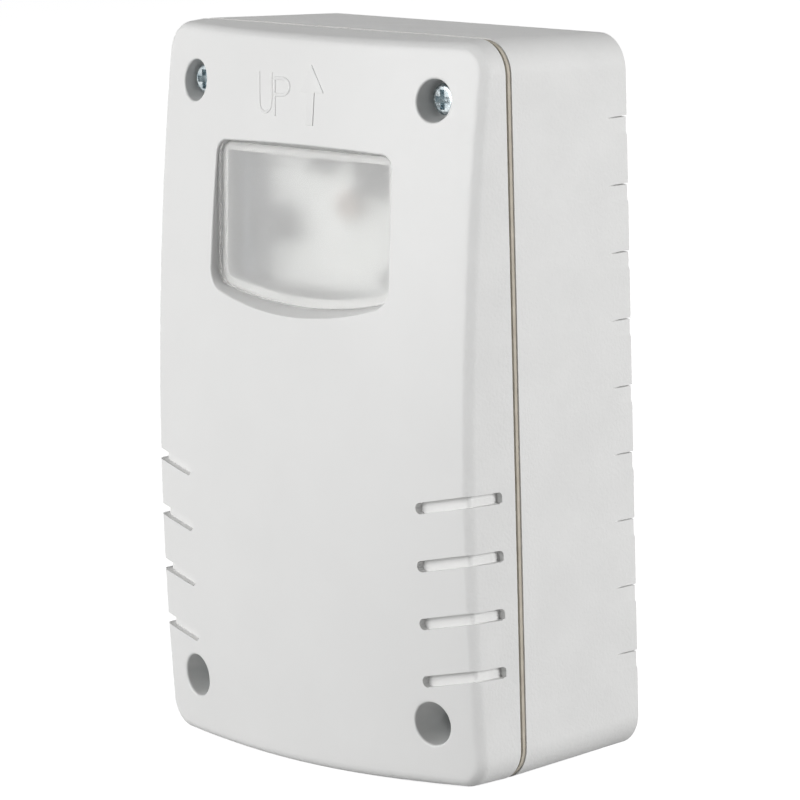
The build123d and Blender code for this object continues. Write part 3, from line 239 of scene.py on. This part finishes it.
# water-clear epoxy, cast: the dome takes its tone from what lies round it
led_resin = surface(
    "epoxy_cast_clear", "#eef1f0", "#e4e9e7", (0.06, 0.12), 0.6, 0.002, 1.5,
    **{"Transmission Weight": 0.7, "IOR": 1.55},
)
# PVC wire covering, extruded: soft gloss with faint lines along the wire
pvc_red = surface("pvc_extruded_red", "#b3261f", "#9d2019", (0.32, 0.44), 0.4, 0.01, 5.0)
pvc_black = surface("pvc_extruded_black", "#202122", "#18191a", (0.32, 0.44), 0.4, 0.01, 5.0)


def laminated_steel():
    """Electrical steel sheets stacked along the shaft: a fine dark line every half millimetre."""
    material, tree, place = new_material("steel_laminations_stacked")
    sheet_mm = 0.5
    settings = {"bands_direction": "Y", "Scale": WAVE_PERIOD / (sheet_mm * MM), "Distortion": 0.0}
    lines = add_node(tree, "ShaderNodeTexWave", settings, {"Vector": place}).outputs["Fac"]
    tones = {"data_type": "RGBA", 6: linear("#4c4d4f"), 7: linear("#85868a")}
    colour = add_node(tree, "ShaderNodeMix", tones, {0: lines}).outputs[2]
    relief = add_node(tree, "ShaderNodeBump", {"Distance": 0.03 * MM}, {"Height": lines}).outputs[0]
    settings = {"Metallic": 1.0, "Roughness": 0.42}
    shaded = add_node(tree, "ShaderNodeBsdfPrincipled", settings, {"Base Color": colour, "Normal": relief})
    add_node(tree, "ShaderNodeOutputMaterial", {}, {"Surface": shaded.outputs[0]})
    return material


def sulphide_track():
    """Cadmium sulphide under clear resin: a fawn track that runs to and fro between metal combs."""
    material, tree, place = new_material("cadmium_sulphide_under_resin")
    track_mm = 0.7
    settings = {"bands_direction": "Z", "Scale": WAVE_PERIOD / (track_mm * MM), "Distortion": 0.0}
    combs = add_node(tree, "ShaderNodeTexWave", settings, {"Vector": place}).outputs["Fac"]
    edge = add_node(tree, "ShaderNodeMapRange", {"From Min": 0.45, "From Max": 0.55}, {"Value": combs})
    tones = {"data_type": "RGBA", 6: linear("#80584a"), 7: linear("#aaa296")}
    colour = add_node(tree, "ShaderNodeMix", tones, {0: edge.outputs[0]}).outputs[2]
    settings = {"Roughness": 0.3, "IOR": 1.5, "Coat Weight": 1.0, "Coat Roughness": 0.06}
    shaded = add_node(tree, "ShaderNodeBsdfPrincipled", settings, {"Base Color": colour})
    add_node(tree, "ShaderNodeOutputMaterial", {}, {"Surface": shaded.outputs[0]})
    return material


def cell_jacket(low, high):
    """A plastic label shrunk on a nickel can: sea green with a pale band, bare metal at both ends."""
    material, tree, place = new_material("polyester_label_on_nickel_can")
    height = add_node(tree, "ShaderNodeSeparateXYZ", {}, {0: place}).outputs["Z"]
    bare_end, band_low, band_high = 1.6 * MM, 35 * MM, 43 * MM
    steps = []
    for kind, level in (
        ("GREATER_THAN", low + bare_end),
        ("LESS_THAN", high - bare_end),
        ("GREATER_THAN", low + band_low),
        ("LESS_THAN", low + band_high),
    ):
        step = add_node(tree, "ShaderNodeMath", {"operation": kind, 1: level}, {0: height})
        steps.append(step.outputs[0])
    both = {"operation": "MULTIPLY"}
    label = add_node(tree, "ShaderNodeMath", both, {0: steps[0], 1: steps[1]}).outputs[0]
    band = add_node(tree, "ShaderNodeMath", both, {0: steps[2], 1: steps[3]}).outputs[0]
    inks = {"data_type": "RGBA", 6: linear("#2f6659"), 7: linear("#d9d7cd")}
    printed = add_node(tree, "ShaderNodeMix", inks, {0: band}).outputs[2]
    colour = add_node(
        tree, "ShaderNodeMix", {"data_type": "RGBA", 6: linear("#c1beb5")}, {0: label, 7: printed}
    ).outputs[2]
    bare = add_node(tree, "ShaderNodeMath", {"operation": "SUBTRACT", 0: 1.0}, {1: label}).outputs[0]
    links = {"Base Color": colour, "Metallic": bare}
    shaded = add_node(tree, "ShaderNodeBsdfPrincipled", {"Roughness": 0.26}, links)
    add_node(tree, "ShaderNodeOutputMaterial", {}, {"Surface": shaded.outputs[0]})
    return material


def clear_polycarbonate(name, gloss, haze_share, open_from_mm, passed):
    """Polycarbonate that lets light through, with a share of it scattered as white haze."""
    material, tree, _ = new_material(name)
    settings = {"Base Color": linear("#f8f8f7"), "Roughness": gloss, "Transmission Weight": 1.0, "IOR": 1.58}
    glassy = add_node(tree, "ShaderNodeBsdfPrincipled", settings)
    settings = {"Base Color": linear("#e6e6e5"), "Roughness": 0.5, "IOR": 1.58}
    haze = add_node(tree, "ShaderNodeBsdfPrincipled", settings)
    sides = {1: glassy.outputs[0], 2: haze.outputs[0]}
    body = add_node(tree, "ShaderNodeMixShader", {"Fac": haze_share}, sides)
    # the lamps' light also goes straight on to what lies well behind the face, which brightens the board
    open_way = add_node(tree, "ShaderNodeBsdfTransparent", {"Color": linear(passed)})
    path = add_node(tree, "ShaderNodeLightPath")
    farther = {"operation": "GREATER_THAN", 1: open_from_mm * MM}
    deep = add_node(tree, "ShaderNodeMath", farther, {0: path.outputs["Ray Length"]})
    both = {0: path.outputs["Is Shadow Ray"], 1: deep.outputs[0]}
    straight = add_node(tree, "ShaderNodeMath", {"operation": "MULTIPLY"}, both)
    ways = {"Fac": straight.outputs[0], 1: body.outputs[0], 2: open_way.outputs[0]}
    mixed = add_node(tree, "ShaderNodeMixShader", {}, ways)
    add_node(tree, "ShaderNodeOutputMaterial", {}, {"Surface": mixed.outputs[0]})
    return material


# the pane's front is polished, so its outline stays crisp
polished_pane = clear_polycarbonate("polycarbonate_moulded_clear", 0.04, 0.0, 0.0, "#d2d2d2")
# its back is spark-eroded: what lies behind turns into soft grey shapes
matt_pane = clear_polycarbonate("polycarbonate_matt_back", 0.42, 0.34, 3.0, "#dedede")


# ---------------------------------------------------------------- dressing the nodes
def dress(piece, *finishes):
    piece.data.materials.clear()
    for material in finishes:
        piece.data.materials.append(material)


cell_names = [name for name in nodes if name.startswith("aa_cell_")]
cell_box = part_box(cell_names[0])
coats = {
    gap_shaded_foam_seal: ["cover_seal"],
    nitrile: ["cord_eyelet"],
    zinc_plate: [name for name in nodes if name.endswith("_screws")],
    zinc_sheet: ["gear_plate"],
    ground_steel: ["drum_shaft", "drum_clip", "second_axle", "first_axle", "motor_shaft", "slack_pin"],
    turned_brass: ["drum_bushes", "motor_pinion"],
    natural_acetal: ["drum_gear", "second_gear", "first_gear"],
    nylon_black: ["cord_drum"],
    nickel_can: ["motor_can"],
    ferrite: ["motor_magnets"],
    laminated_steel(): ["motor_rotor"],
    moulded_black: ["motor_end_cap", "slack_switch", "button_housing", "power_knob"],
    moulded_grey: ["battery_tray", "power_switch", "trimmer_dial"],
    moulded_white: ["trimmer_housing", "battery_header"],
    moulded_red: ["slack_plunger", "manual_button"],
    nickel_strip: ["cell_contacts", "slack_lever"],
    tinned: ["motor_tags", "header_pins"],
    shrunk_sleeve: ["capacitor"],
    fired_glaze: ["chip_resistors"],
    mask_white: ["circuit_board"],
    terminal_slate_as_wall_shade: ["terminal_strip"],
    sulphide_track(): ["light_sensor"],
    led_resin: ["status_led"],
    pvc_red: ["red_leads"],
    pvc_black: ["black_leads"],
    cell_jacket(cell_box[0][2], cell_box[1][2]): cell_names,
}
for coat, names in coats.items():
    for name in names:
        dress(nodes[name], coat)


CAD_SHARP, WELD_MM, SLIVER_MM = 30, 0.003, 0.002


def welded_copy(node, finishes, second_finish=None):
    """A welded copy of a CAD node, shown in its place; second_finish picks the faces that wear the second."""
    mesh = nodes[node].data.copy()
    mesh.materials.clear()
    for finish in finishes:
        mesh.materials.append(finish)
    shape = bmesh.new()
    shape.from_mesh(mesh)
    bmesh.ops.remove_doubles(shape, verts=shape.verts, dist=WELD_MM * MM)
    bmesh.ops.dissolve_degenerate(shape, edges=shape.edges, dist=SLIVER_MM * MM)
    for face in shape.faces:
        face.smooth = True
        face.material_index = int(bool(second_finish and second_finish(face)))
    shape.to_mesh(mesh)
    shape.free()
    cad_normals = mesh.attributes.get("custom_normal")
    if cad_normals:
        mesh.attributes.remove(cad_normals)
    mesh.set_sharp_from_angle(angle=radians(CAD_SHARP))
    piece = bpy.data.objects.new(node + "_shell", mesh)
    scene.collection.objects.link(piece)
    piece.modifiers.new("even_normals", "WEIGHTED_NORMAL").keep_sharp = True
    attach(piece, nodes[node]["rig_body"])
    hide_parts(node)
    return piece


FLANK_X, FLANK_TOP, FLANK_BOTTOM = 35.5 * MM, 55.5 * MM, -57.0 * MM
CROWN_FACING = -0.85  # a normal's y, below which a face counts as the crowned front


def off_the_flanks(face):
    """The cover's front, its openings and its inside, which the tool leaves smoother than the flanks."""
    middle = face.calc_center_median()
    outer = abs(middle.x) > FLANK_X or middle.z > FLANK_TOP or middle.z < FLANK_BOTTOM
    return not outer or face.normal.y < CROWN_FACING


PANE_FRONT_FACING, PANE_BACK_FACING = -0.3, 0.9


def off_the_panes_front(face):
    """The pane's edges and its matt back."""
    return face.normal.y > PANE_FRONT_FACING


welded_copy("back_housing", [grained_abs])
welded_copy("front_cover", [grained_abs, satin_abs], off_the_flanks)
pane = welded_copy("window_lens", [polished_pane, matt_pane], off_the_panes_front)
# a hair of air behind the pane, because its back and its ledge share one plane
AIR_GAP = 0.05
back_faces = [face for face in pane.data.polygons if face.normal.y > PANE_BACK_FACING]
for index in {index for face in back_faces for index in face.vertices}:
    pane.data.vertices[index].co.y -= AIR_GAP * MM


# ---------------------------------------------------------------- new pieces
def finished(name, shape, material, body, sharp_degrees=40):
    """Turns a bmesh into a piece that rides on a body, smooth but for its sharp edges."""
    bmesh.ops.recalc_face_normals(shape, faces=shape.faces)
    for face in shape.faces:
        face.smooth = True
    mesh = bpy.data.meshes.new(name)
    shape.to_mesh(mesh)
    shape.free()
    mesh.set_sharp_from_angle(angle=radians(sharp_degrees))
    piece = bpy.data.objects.new(name, mesh)
    scene.collection.objects.link(piece)
    dress(piece, material)
    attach(piece, body)
    return piece


# ---------------------------------------------------------------- raised lettering on the cover
CROWN_FRONT, CROWN_Z = -41.05, -18.0
PLAN_RADIUS, PROFILE_RADIUS = 195.0, 520.0
LETTER_WIDTH, LETTER_HEIGHT, LETTER_SINK = 0.6, 0.16, 0.02


def crown_y(x, z):
    """The cover's front surface at x and z, in millimetres."""
    ring = PLAN_RADIUS - PROFILE_RADIUS + sqrt(PROFILE_RADIUS**2 - (z - CROWN_Z) ** 2)
    return CROWN_FRONT + PLAN_RADIUS - sqrt(ring**2 - x**2)


def lay_on_crown(piece, sink_mm):
    """Takes a flat mesh drawn in x, z and height, in millimetres, onto the cover's front."""
    for vertex in piece.data.vertices:
        x, z, height = vertex.co
        vertex.co = (x * MM, (crown_y(x, z) + sink_mm - height) * MM, z * MM)


def letter_stroke(name, points):
    """A rounded raised line through points, flattened to a low ridge."""
    curve = bpy.data.curves.new(name, "CURVE")
    curve.dimensions = "3D"
    curve.bevel_depth = 1.0
    curve.bevel_resolution = 3
    curve.use_fill_caps = True
    spline = curve.splines.new("NURBS")
    spline.points.add(len(points) - 1)
    for point, place in zip(spline.points, points):
        point.co = (*place, 0, 1)
        point.radius = LETTER_WIDTH / 2
    spline.order_u = 3
    spline.use_endpoint_u = True
    spline.resolution_u = 8
    drawn = bpy.data.objects.new(name, curve)
    scene.collection.objects.link(drawn)
    mesh = bpy.data.meshes.new_from_object(drawn.evaluated_get(bpy.context.evaluated_depsgraph_get()))
    bpy.data.objects.remove(drawn)
    mesh.transform(Matrix.Diagonal((1, 1, 2 * LETTER_HEIGHT / LETTER_WIDTH, 1)))
    piece = bpy.data.objects.new(name, mesh)
    scene.collection.objects.link(piece)
    mesh.polygons.foreach_set("use_smooth", [True] * len(mesh.polygons))
    lay_on_crown(piece, LETTER_SINK)
    dress(piece, satin_abs)
    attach(piece, "cover")


letter_stroke("raised_u", [
    (-11.05, 53.0), (-10.75, 50.5), (-10.45, 48.3), (-10.1, 47.0), (-8.8, 46.4),
    (-7.5, 47.0), (-7.2, 48.3), (-7.45, 50.5), (-7.8, 53.0),
])
letter_stroke("raised_p_stem", [(-6.2, 46.1), (-6.45, 48.5), (-6.7, 50.5), (-6.85, 52.1), (-6.85, 52.15)])
letter_stroke("raised_p_bowl", [
    (-6.8, 52.15), (-5.3, 52.25), (-3.7, 52.1), (-2.9, 51.2),
    (-3.1, 50.1), (-4.2, 49.55), (-5.5, 49.5), (-6.5, 49.55),
])


def raised_arrow():
    """A block arrow that points up, a low flat plateau with softened edges."""
    base_mm, rise_mm, soft_edge = -0.1, 0.24, 0.1
    foot = [(1.7, 45.05), (3.5, 45.05)]
    head = [(3.35, 50.35), (5.5, 50.4), (2.2, 54.8), (-0.2, 50.3), (1.55, 50.3)]
    shape = bmesh.new()
    face = shape.faces.new([shape.verts.new((x, z, base_mm)) for x, z in foot + head])
    lifted = bmesh.ops.extrude_face_region(shape, geom=[face], use_keep_orig=True)["geom"]
    top = [part for part in lifted if isinstance(part, bmesh.types.BMVert)]
    bmesh.ops.translate(shape, verts=top, vec=(0, 0, rise_mm))
    rims = [edge for edge in shape.edges if all(v.co.z > 0 for v in edge.verts)]
    bmesh.ops.bevel(shape, geom=rims, offset=soft_edge, segments=3, profile=0.5, affect="EDGES", material=-1)
    bmesh.ops.triangulate(shape, faces=shape.faces)
    for vertex in shape.verts:
        x, z, height = vertex.co
        vertex.co = (x * MM, (crown_y(x, z) - height) * MM, z * MM)
    finished("raised_arrow", shape, satin_abs, "cover")


raised_arrow()

# ---------------------------------------------------------------- threads of the cover screws
THREAD_PITCH, THREAD_CORE, THREAD_CREST, RIDGE_HALF = 1.1, 1.27, 1.5, 0.4
THREAD_TIP, THREAD_TURNS, TURN_STEPS = -17.3, 9, 20
SCREW_X, SCREW_HEIGHTS = 29.35, (-49.9, 50.4)

shape = bmesh.new()
for x in (-SCREW_X, SCREW_X):
    for z in SCREW_HEIGHTS:
        ridge = [(THREAD_CORE, -RIDGE_HALF), (THREAD_CREST, 0.0), (THREAD_CORE, RIDGE_HALF)]
        corners = [
            shape.verts.new(((x + reach) * MM, (THREAD_TIP + along) * MM, z * MM)) for reach, along in ridge
        ]
        sides = [shape.edges.new((corners[i], corners[i - 1])) for i in range(len(corners))]
        bmesh.ops.spin(
            shape,
            geom=corners + sides,
            cent=(x * MM, 0, z * MM),
            axis=(0, 1, 0),
            dvec=(0, -THREAD_PITCH / TURN_STEPS * MM, 0),
            angle=2 * pi * THREAD_TURNS,
            steps=THREAD_TURNS * TURN_STEPS,
            use_duplicate=False,
        )
bmesh.ops.holes_fill(shape, edges=[edge for edge in shape.edges if edge.is_boundary], sides=3)
finished("cover_screw_threads", shape, zinc_plate, "cover", 30)

# ---------------------------------------------------------------- windings of the motor
rotor_low, rotor_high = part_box("motor_rotor")
rotor_x, rotor_z = (rotor_low[0] + rotor_high[0]) / 2, (rotor_low[2] + rotor_high[2]) / 2
COIL_SIZE, COIL_REACH, COIL_SINK = (3.3, 1.5, 2.3), 5.3, 0.5

shape = bmesh.new()
for number in range(3):
    bearing = radians(90 + number * 120)
    for end in (rotor_low[1] + COIL_SINK * MM, rotor_high[1] - COIL_SINK * MM):
        coil = bmesh.ops.create_uvsphere(shape, u_segments=24, v_segments=12, radius=1.0)["verts"]
        bmesh.ops.scale(shape, verts=coil, vec=[side * MM for side in COIL_SIZE])
        turn = Matrix.Rotation(pi / 2 - bearing, 3, "Y")
        bmesh.ops.rotate(shape, verts=coil, cent=(0, 0, 0), matrix=turn)
        middle = (rotor_x + COIL_REACH * MM * cos(bearing), end, rotor_z + COIL_REACH * MM * sin(bearing))
        bmesh.ops.translate(shape, verts=coil, vec=middle)
finished("rotor_windings", shape, enamelled_copper, "rotor")

# ---------------------------------------------------------------- solder on the back of the board
BOARD_REAR, CONE_FOOT, CONE_TOP, CONE_HEIGHT, CONE_SINK = -26.4, 0.95, 0.35, 0.6, 0.02
CONE_MIDDLE = BOARD_REAR + CONE_HEIGHT / 2 - CONE_SINK
joints = [(-20.0, 20.4 + 4.8 * number) for number in range(5)]
joints += [(-30.0, 20.7), (-27.6, 20.7), (-13.7, 27.5), (-11.7, 27.5), (3.1, 31.5), (5.7, 31.5)]
joints += [(13.4, 20.5), (14.6, 20.5), (25.4, 18.5), (29.8, 18.5), (25.4, 22.3), (29.8, 22.3)]
joints += [(-29.0, 31.5), (-29.0, 34.0), (-29.0, 36.5), (25.9, 32.2), (25.9, 36.2), (30.3, 34.2)]
shape = bmesh.new()
for x, z in joints:
    cone = bmesh.ops.create_cone(
        shape,
        cap_ends=True,
        segments=16,
        radius1=CONE_FOOT * MM,
        radius2=CONE_TOP * MM,
        depth=CONE_HEIGHT * MM,
    )["verts"]
    bmesh.ops.rotate(shape, verts=cone, cent=(0, 0, 0), matrix=Matrix.Rotation(-pi / 2, 3, "X"))
    bmesh.ops.translate(shape, verts=cone, vec=(x * MM, CONE_MIDDLE * MM, z * MM))
finished("solder_joints", shape, solder, "housing", 60)

# ---------------------------------------------------------------- copper tracks on the board's front
BOARD_FRONT, TRACK_WIDTH, TRACK_HEIGHT = -28.0, 0.7, 0.07
tracks = [
    [(-16.6, 20.4), (-13.0, 20.4), (-9.5, 23.9), (-9.5, 31.0), (-3.4, 35.4)],
    [(-16.6, 25.2), (-15.2, 25.2), (-10.8, 29.6), (-10.8, 32.6), (-5.2, 37.6)],
    [(-16.6, 34.8), (-8.4, 34.8), (-5.4, 38.9)],
    [(-16.6, 39.6), (-5.4, 39.6)],
    [(-10.4, 27.5), (-6.6, 27.5), (-6.6, 23.0), (-2.0, 18.6), (11.6, 18.6)],
    [(3.1, 28.6), (3.1, 23.4), (6.0, 20.5), (11.8, 20.5)],
    [(5.7, 28.6), (5.7, 25.4), (8.4, 22.7), (10.0, 22.7), (10.0, 32.0)],
    [(0.9, 37.0), (5.2, 37.0)],
    [(0.9, 39.6), (5.2, 39.6)],
    [(12.5, 32.0), (12.5, 26.0), (16.0, 22.5), (24.0, 22.5)],
    [(15.0, 32.0), (15.0, 28.4), (18.0, 25.4), (21.6, 25.4), (24.2, 28.0), (24.2, 31.6)],
    [(17.6, 32.0), (17.6, 30.0), (22.6, 30.0), (22.6, 35.4), (24.4, 35.4)],
    [(-26.4, 34.0), (-23.8, 34.0)],
    [(-25.0, 20.7), (-23.8, 20.7)],
]
shape = bmesh.new()
for points in tracks:
    for start, end in zip(points, points[1:]):
        run = Vector((end[0] - start[0], 0, end[1] - start[1])) * MM
        bar = bmesh.ops.create_cube(shape, size=1.0)["verts"]
        reach = run.length + TRACK_WIDTH * MM / 2
        bmesh.ops.scale(shape, verts=bar, vec=(reach, TRACK_HEIGHT * MM, TRACK_WIDTH * MM))
        lean = run.to_track_quat("X", "Y").to_matrix()
        bmesh.ops.rotate(shape, verts=bar, cent=(0, 0, 0), matrix=lean)
        middle = ((start[0] + end[0]) / 2 * MM, BOARD_FRONT * MM, (start[1] + end[1]) / 2 * MM)
        bmesh.ops.translate(shape, verts=bar, vec=middle)
finished("board_tracks", shape, mask_on_copper, "housing")

# ---------------------------------------------------------------- two-tone chips
# the chips' bodies are black and the legs at their upper and lower ends bright
LEG_REACH = 1.05
for chip in ("microcontroller", "motor_driver"):
    chip_low, chip_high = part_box(chip)
    legs_below, legs_above = chip_low[2] + LEG_REACH * MM, chip_high[2] - LEG_REACH * MM
    welded_copy(
        chip,
        [chip_epoxy, tinned],
        lambda face: not legs_below <= face.calc_center_median().z <= legs_above,
    )

# ---------------------------------------------------------------- camera
AZIMUTH, ELEVATION, ROLL = radians(48.207), radians(8.926), radians(-1.495)
back = Vector((sin(AZIMUTH) * cos(ELEVATION), -cos(AZIMUTH) * cos(ELEVATION), sin(ELEVATION)))
right = Vector((cos(AZIMUTH), sin(AZIMUTH), 0))
up = back.cross(right)
camera_data = bpy.data.cameras.new("camera")
FOCAL_LENGTH, SENSOR_WIDTH, CAMERA_PLACE = 252.66, 36, (0.68581, -0.62977, 0.14177)
camera_data.lens, camera_data.sensor_width = FOCAL_LENGTH, SENSOR_WIDTH
camera_data.clip_start, camera_data.clip_end = 0.05, 20
camera = bpy.data.objects.new("camera", camera_data)
scene.collection.objects.link(camera)
turned = Matrix((right * cos(ROLL) + up * sin(ROLL), up * cos(ROLL) - right * sin(ROLL), back)).transposed()
camera.matrix_world = Matrix.Translation(CAMERA_PLACE) @ turned.to_4x4()
scene.camera = camera


# ---------------------------------------------------------------- floor, world and lamps
FLOOR_GLOW, FILL_STRENGTH, WHITE_STRENGTH, FLOOR_HALF_SIZE = 0.93, 0.1, 1.0, 4.0


def white_to_the_eye(tree):
    """1 for rays from the camera, off a gloss or through a clear part; 0 once light has scattered."""
    path = add_node(tree, "ShaderNodeLightPath")
    seen = path.outputs["Is Camera Ray"]
    for kind in ("Is Glossy Ray", "Is Transmission Ray"):
        either = {0: seen, 1: path.outputs[kind]}
        seen = add_node(tree, "ShaderNodeMath", {"operation": "MAXIMUM"}, either).outputs[0]
    unscattered = {"operation": "LESS_THAN", 1: 0.5}
    fresh = add_node(tree, "ShaderNodeMath", unscattered, {0: path.outputs["Diffuse Depth"]})
    both = {0: seen, 1: fresh.outputs[0]}
    return add_node(tree, "ShaderNodeMath", {"operation": "MULTIPLY"}, both).outputs[0]


floor_paint, tree, _ = new_material("paper_backdrop_grey")
# the paper's own light keeps the object's soft shadow; what is added for the eye makes it white
weakened = {"operation": "MULTIPLY", 1: FLOOR_GLOW}
added = add_node(tree, "ShaderNodeMath", weakened, {0: white_to_the_eye(tree)})
glow = add_node(tree, "ShaderNodeEmission", {"Color": (1, 1, 1, 1)}, {"Strength": added.outputs[0]})
paint = add_node(tree, "ShaderNodeBsdfDiffuse", {"Color": linear("#a8a8a8")})
both = add_node(tree, "ShaderNodeAddShader", {}, {0: paint.outputs[0], 1: glow.outputs[0]})
add_node(tree, "ShaderNodeOutputMaterial", {}, {"Surface": both.outputs[0]})

shape = bmesh.new()
bmesh.ops.create_grid(shape, x_segments=1, y_segments=1, size=FLOOR_HALF_SIZE)
bmesh.ops.translate(shape, verts=shape.verts, vec=(0, 0, cad_box[0][2]))
floor_mesh = bpy.data.meshes.new("floor")
shape.to_mesh(floor_mesh)
shape.free()
floor = bpy.data.objects.new("floor", floor_mesh)
scene.collection.objects.link(floor)
dress(floor, floor_paint)

world = bpy.data.worlds.new("studio")
scene.world = world
world.use_nodes = True
tree = world.node_tree
tree.nodes.clear()
fill_light = add_node(tree, "ShaderNodeBackground", {"Color": (1, 1, 1, 1), "Strength": FILL_STRENGTH})
white = add_node(tree, "ShaderNodeBackground", {"Color": (1, 1, 1, 1), "Strength": WHITE_STRENGTH})
sides = {"Fac": white_to_the_eye(tree), 1: fill_light.outputs[0], 2: white.outputs[0]}
mixed = add_node(tree, "ShaderNodeMixShader", {}, sides)
add_node(tree, "ShaderNodeOutputWorld", {}, {"Surface": mixed.outputs[0]})


def softbox(name, azimuth, elevation, distance, size, power):
    """A square soft lamp that looks at the box from a direction, azimuth 0 in front of it."""
    a, e = radians(azimuth), radians(elevation)
    way = Vector((sin(a) * cos(e), -cos(a) * cos(e), sin(e)))
    data = bpy.data.lights.new(name, "AREA")
    data.shape, data.size, data.energy = "SQUARE", size, power
    lamp = bpy.data.objects.new(name, data)
    scene.collection.objects.link(lamp)
    facing = way.to_track_quat("Z", "Y").to_matrix().to_4x4()
    lamp.matrix_world = Matrix.Translation(way * distance) @ facing


# one lamp beyond each of the two broad sides, so the soft edge between them stays a shade darker
softbox("front_softbox", -18, 13, 1.0, 0.7, 8.5)
softbox("side_softbox", 110, 15, 1.3, 0.45, 11.8)
# a weaker one for the wall side and the far flank
softbox("back_softbox", 196, 4, 1.4, 0.5, 5.5)

scene.view_settings.view_transform = "Standard"
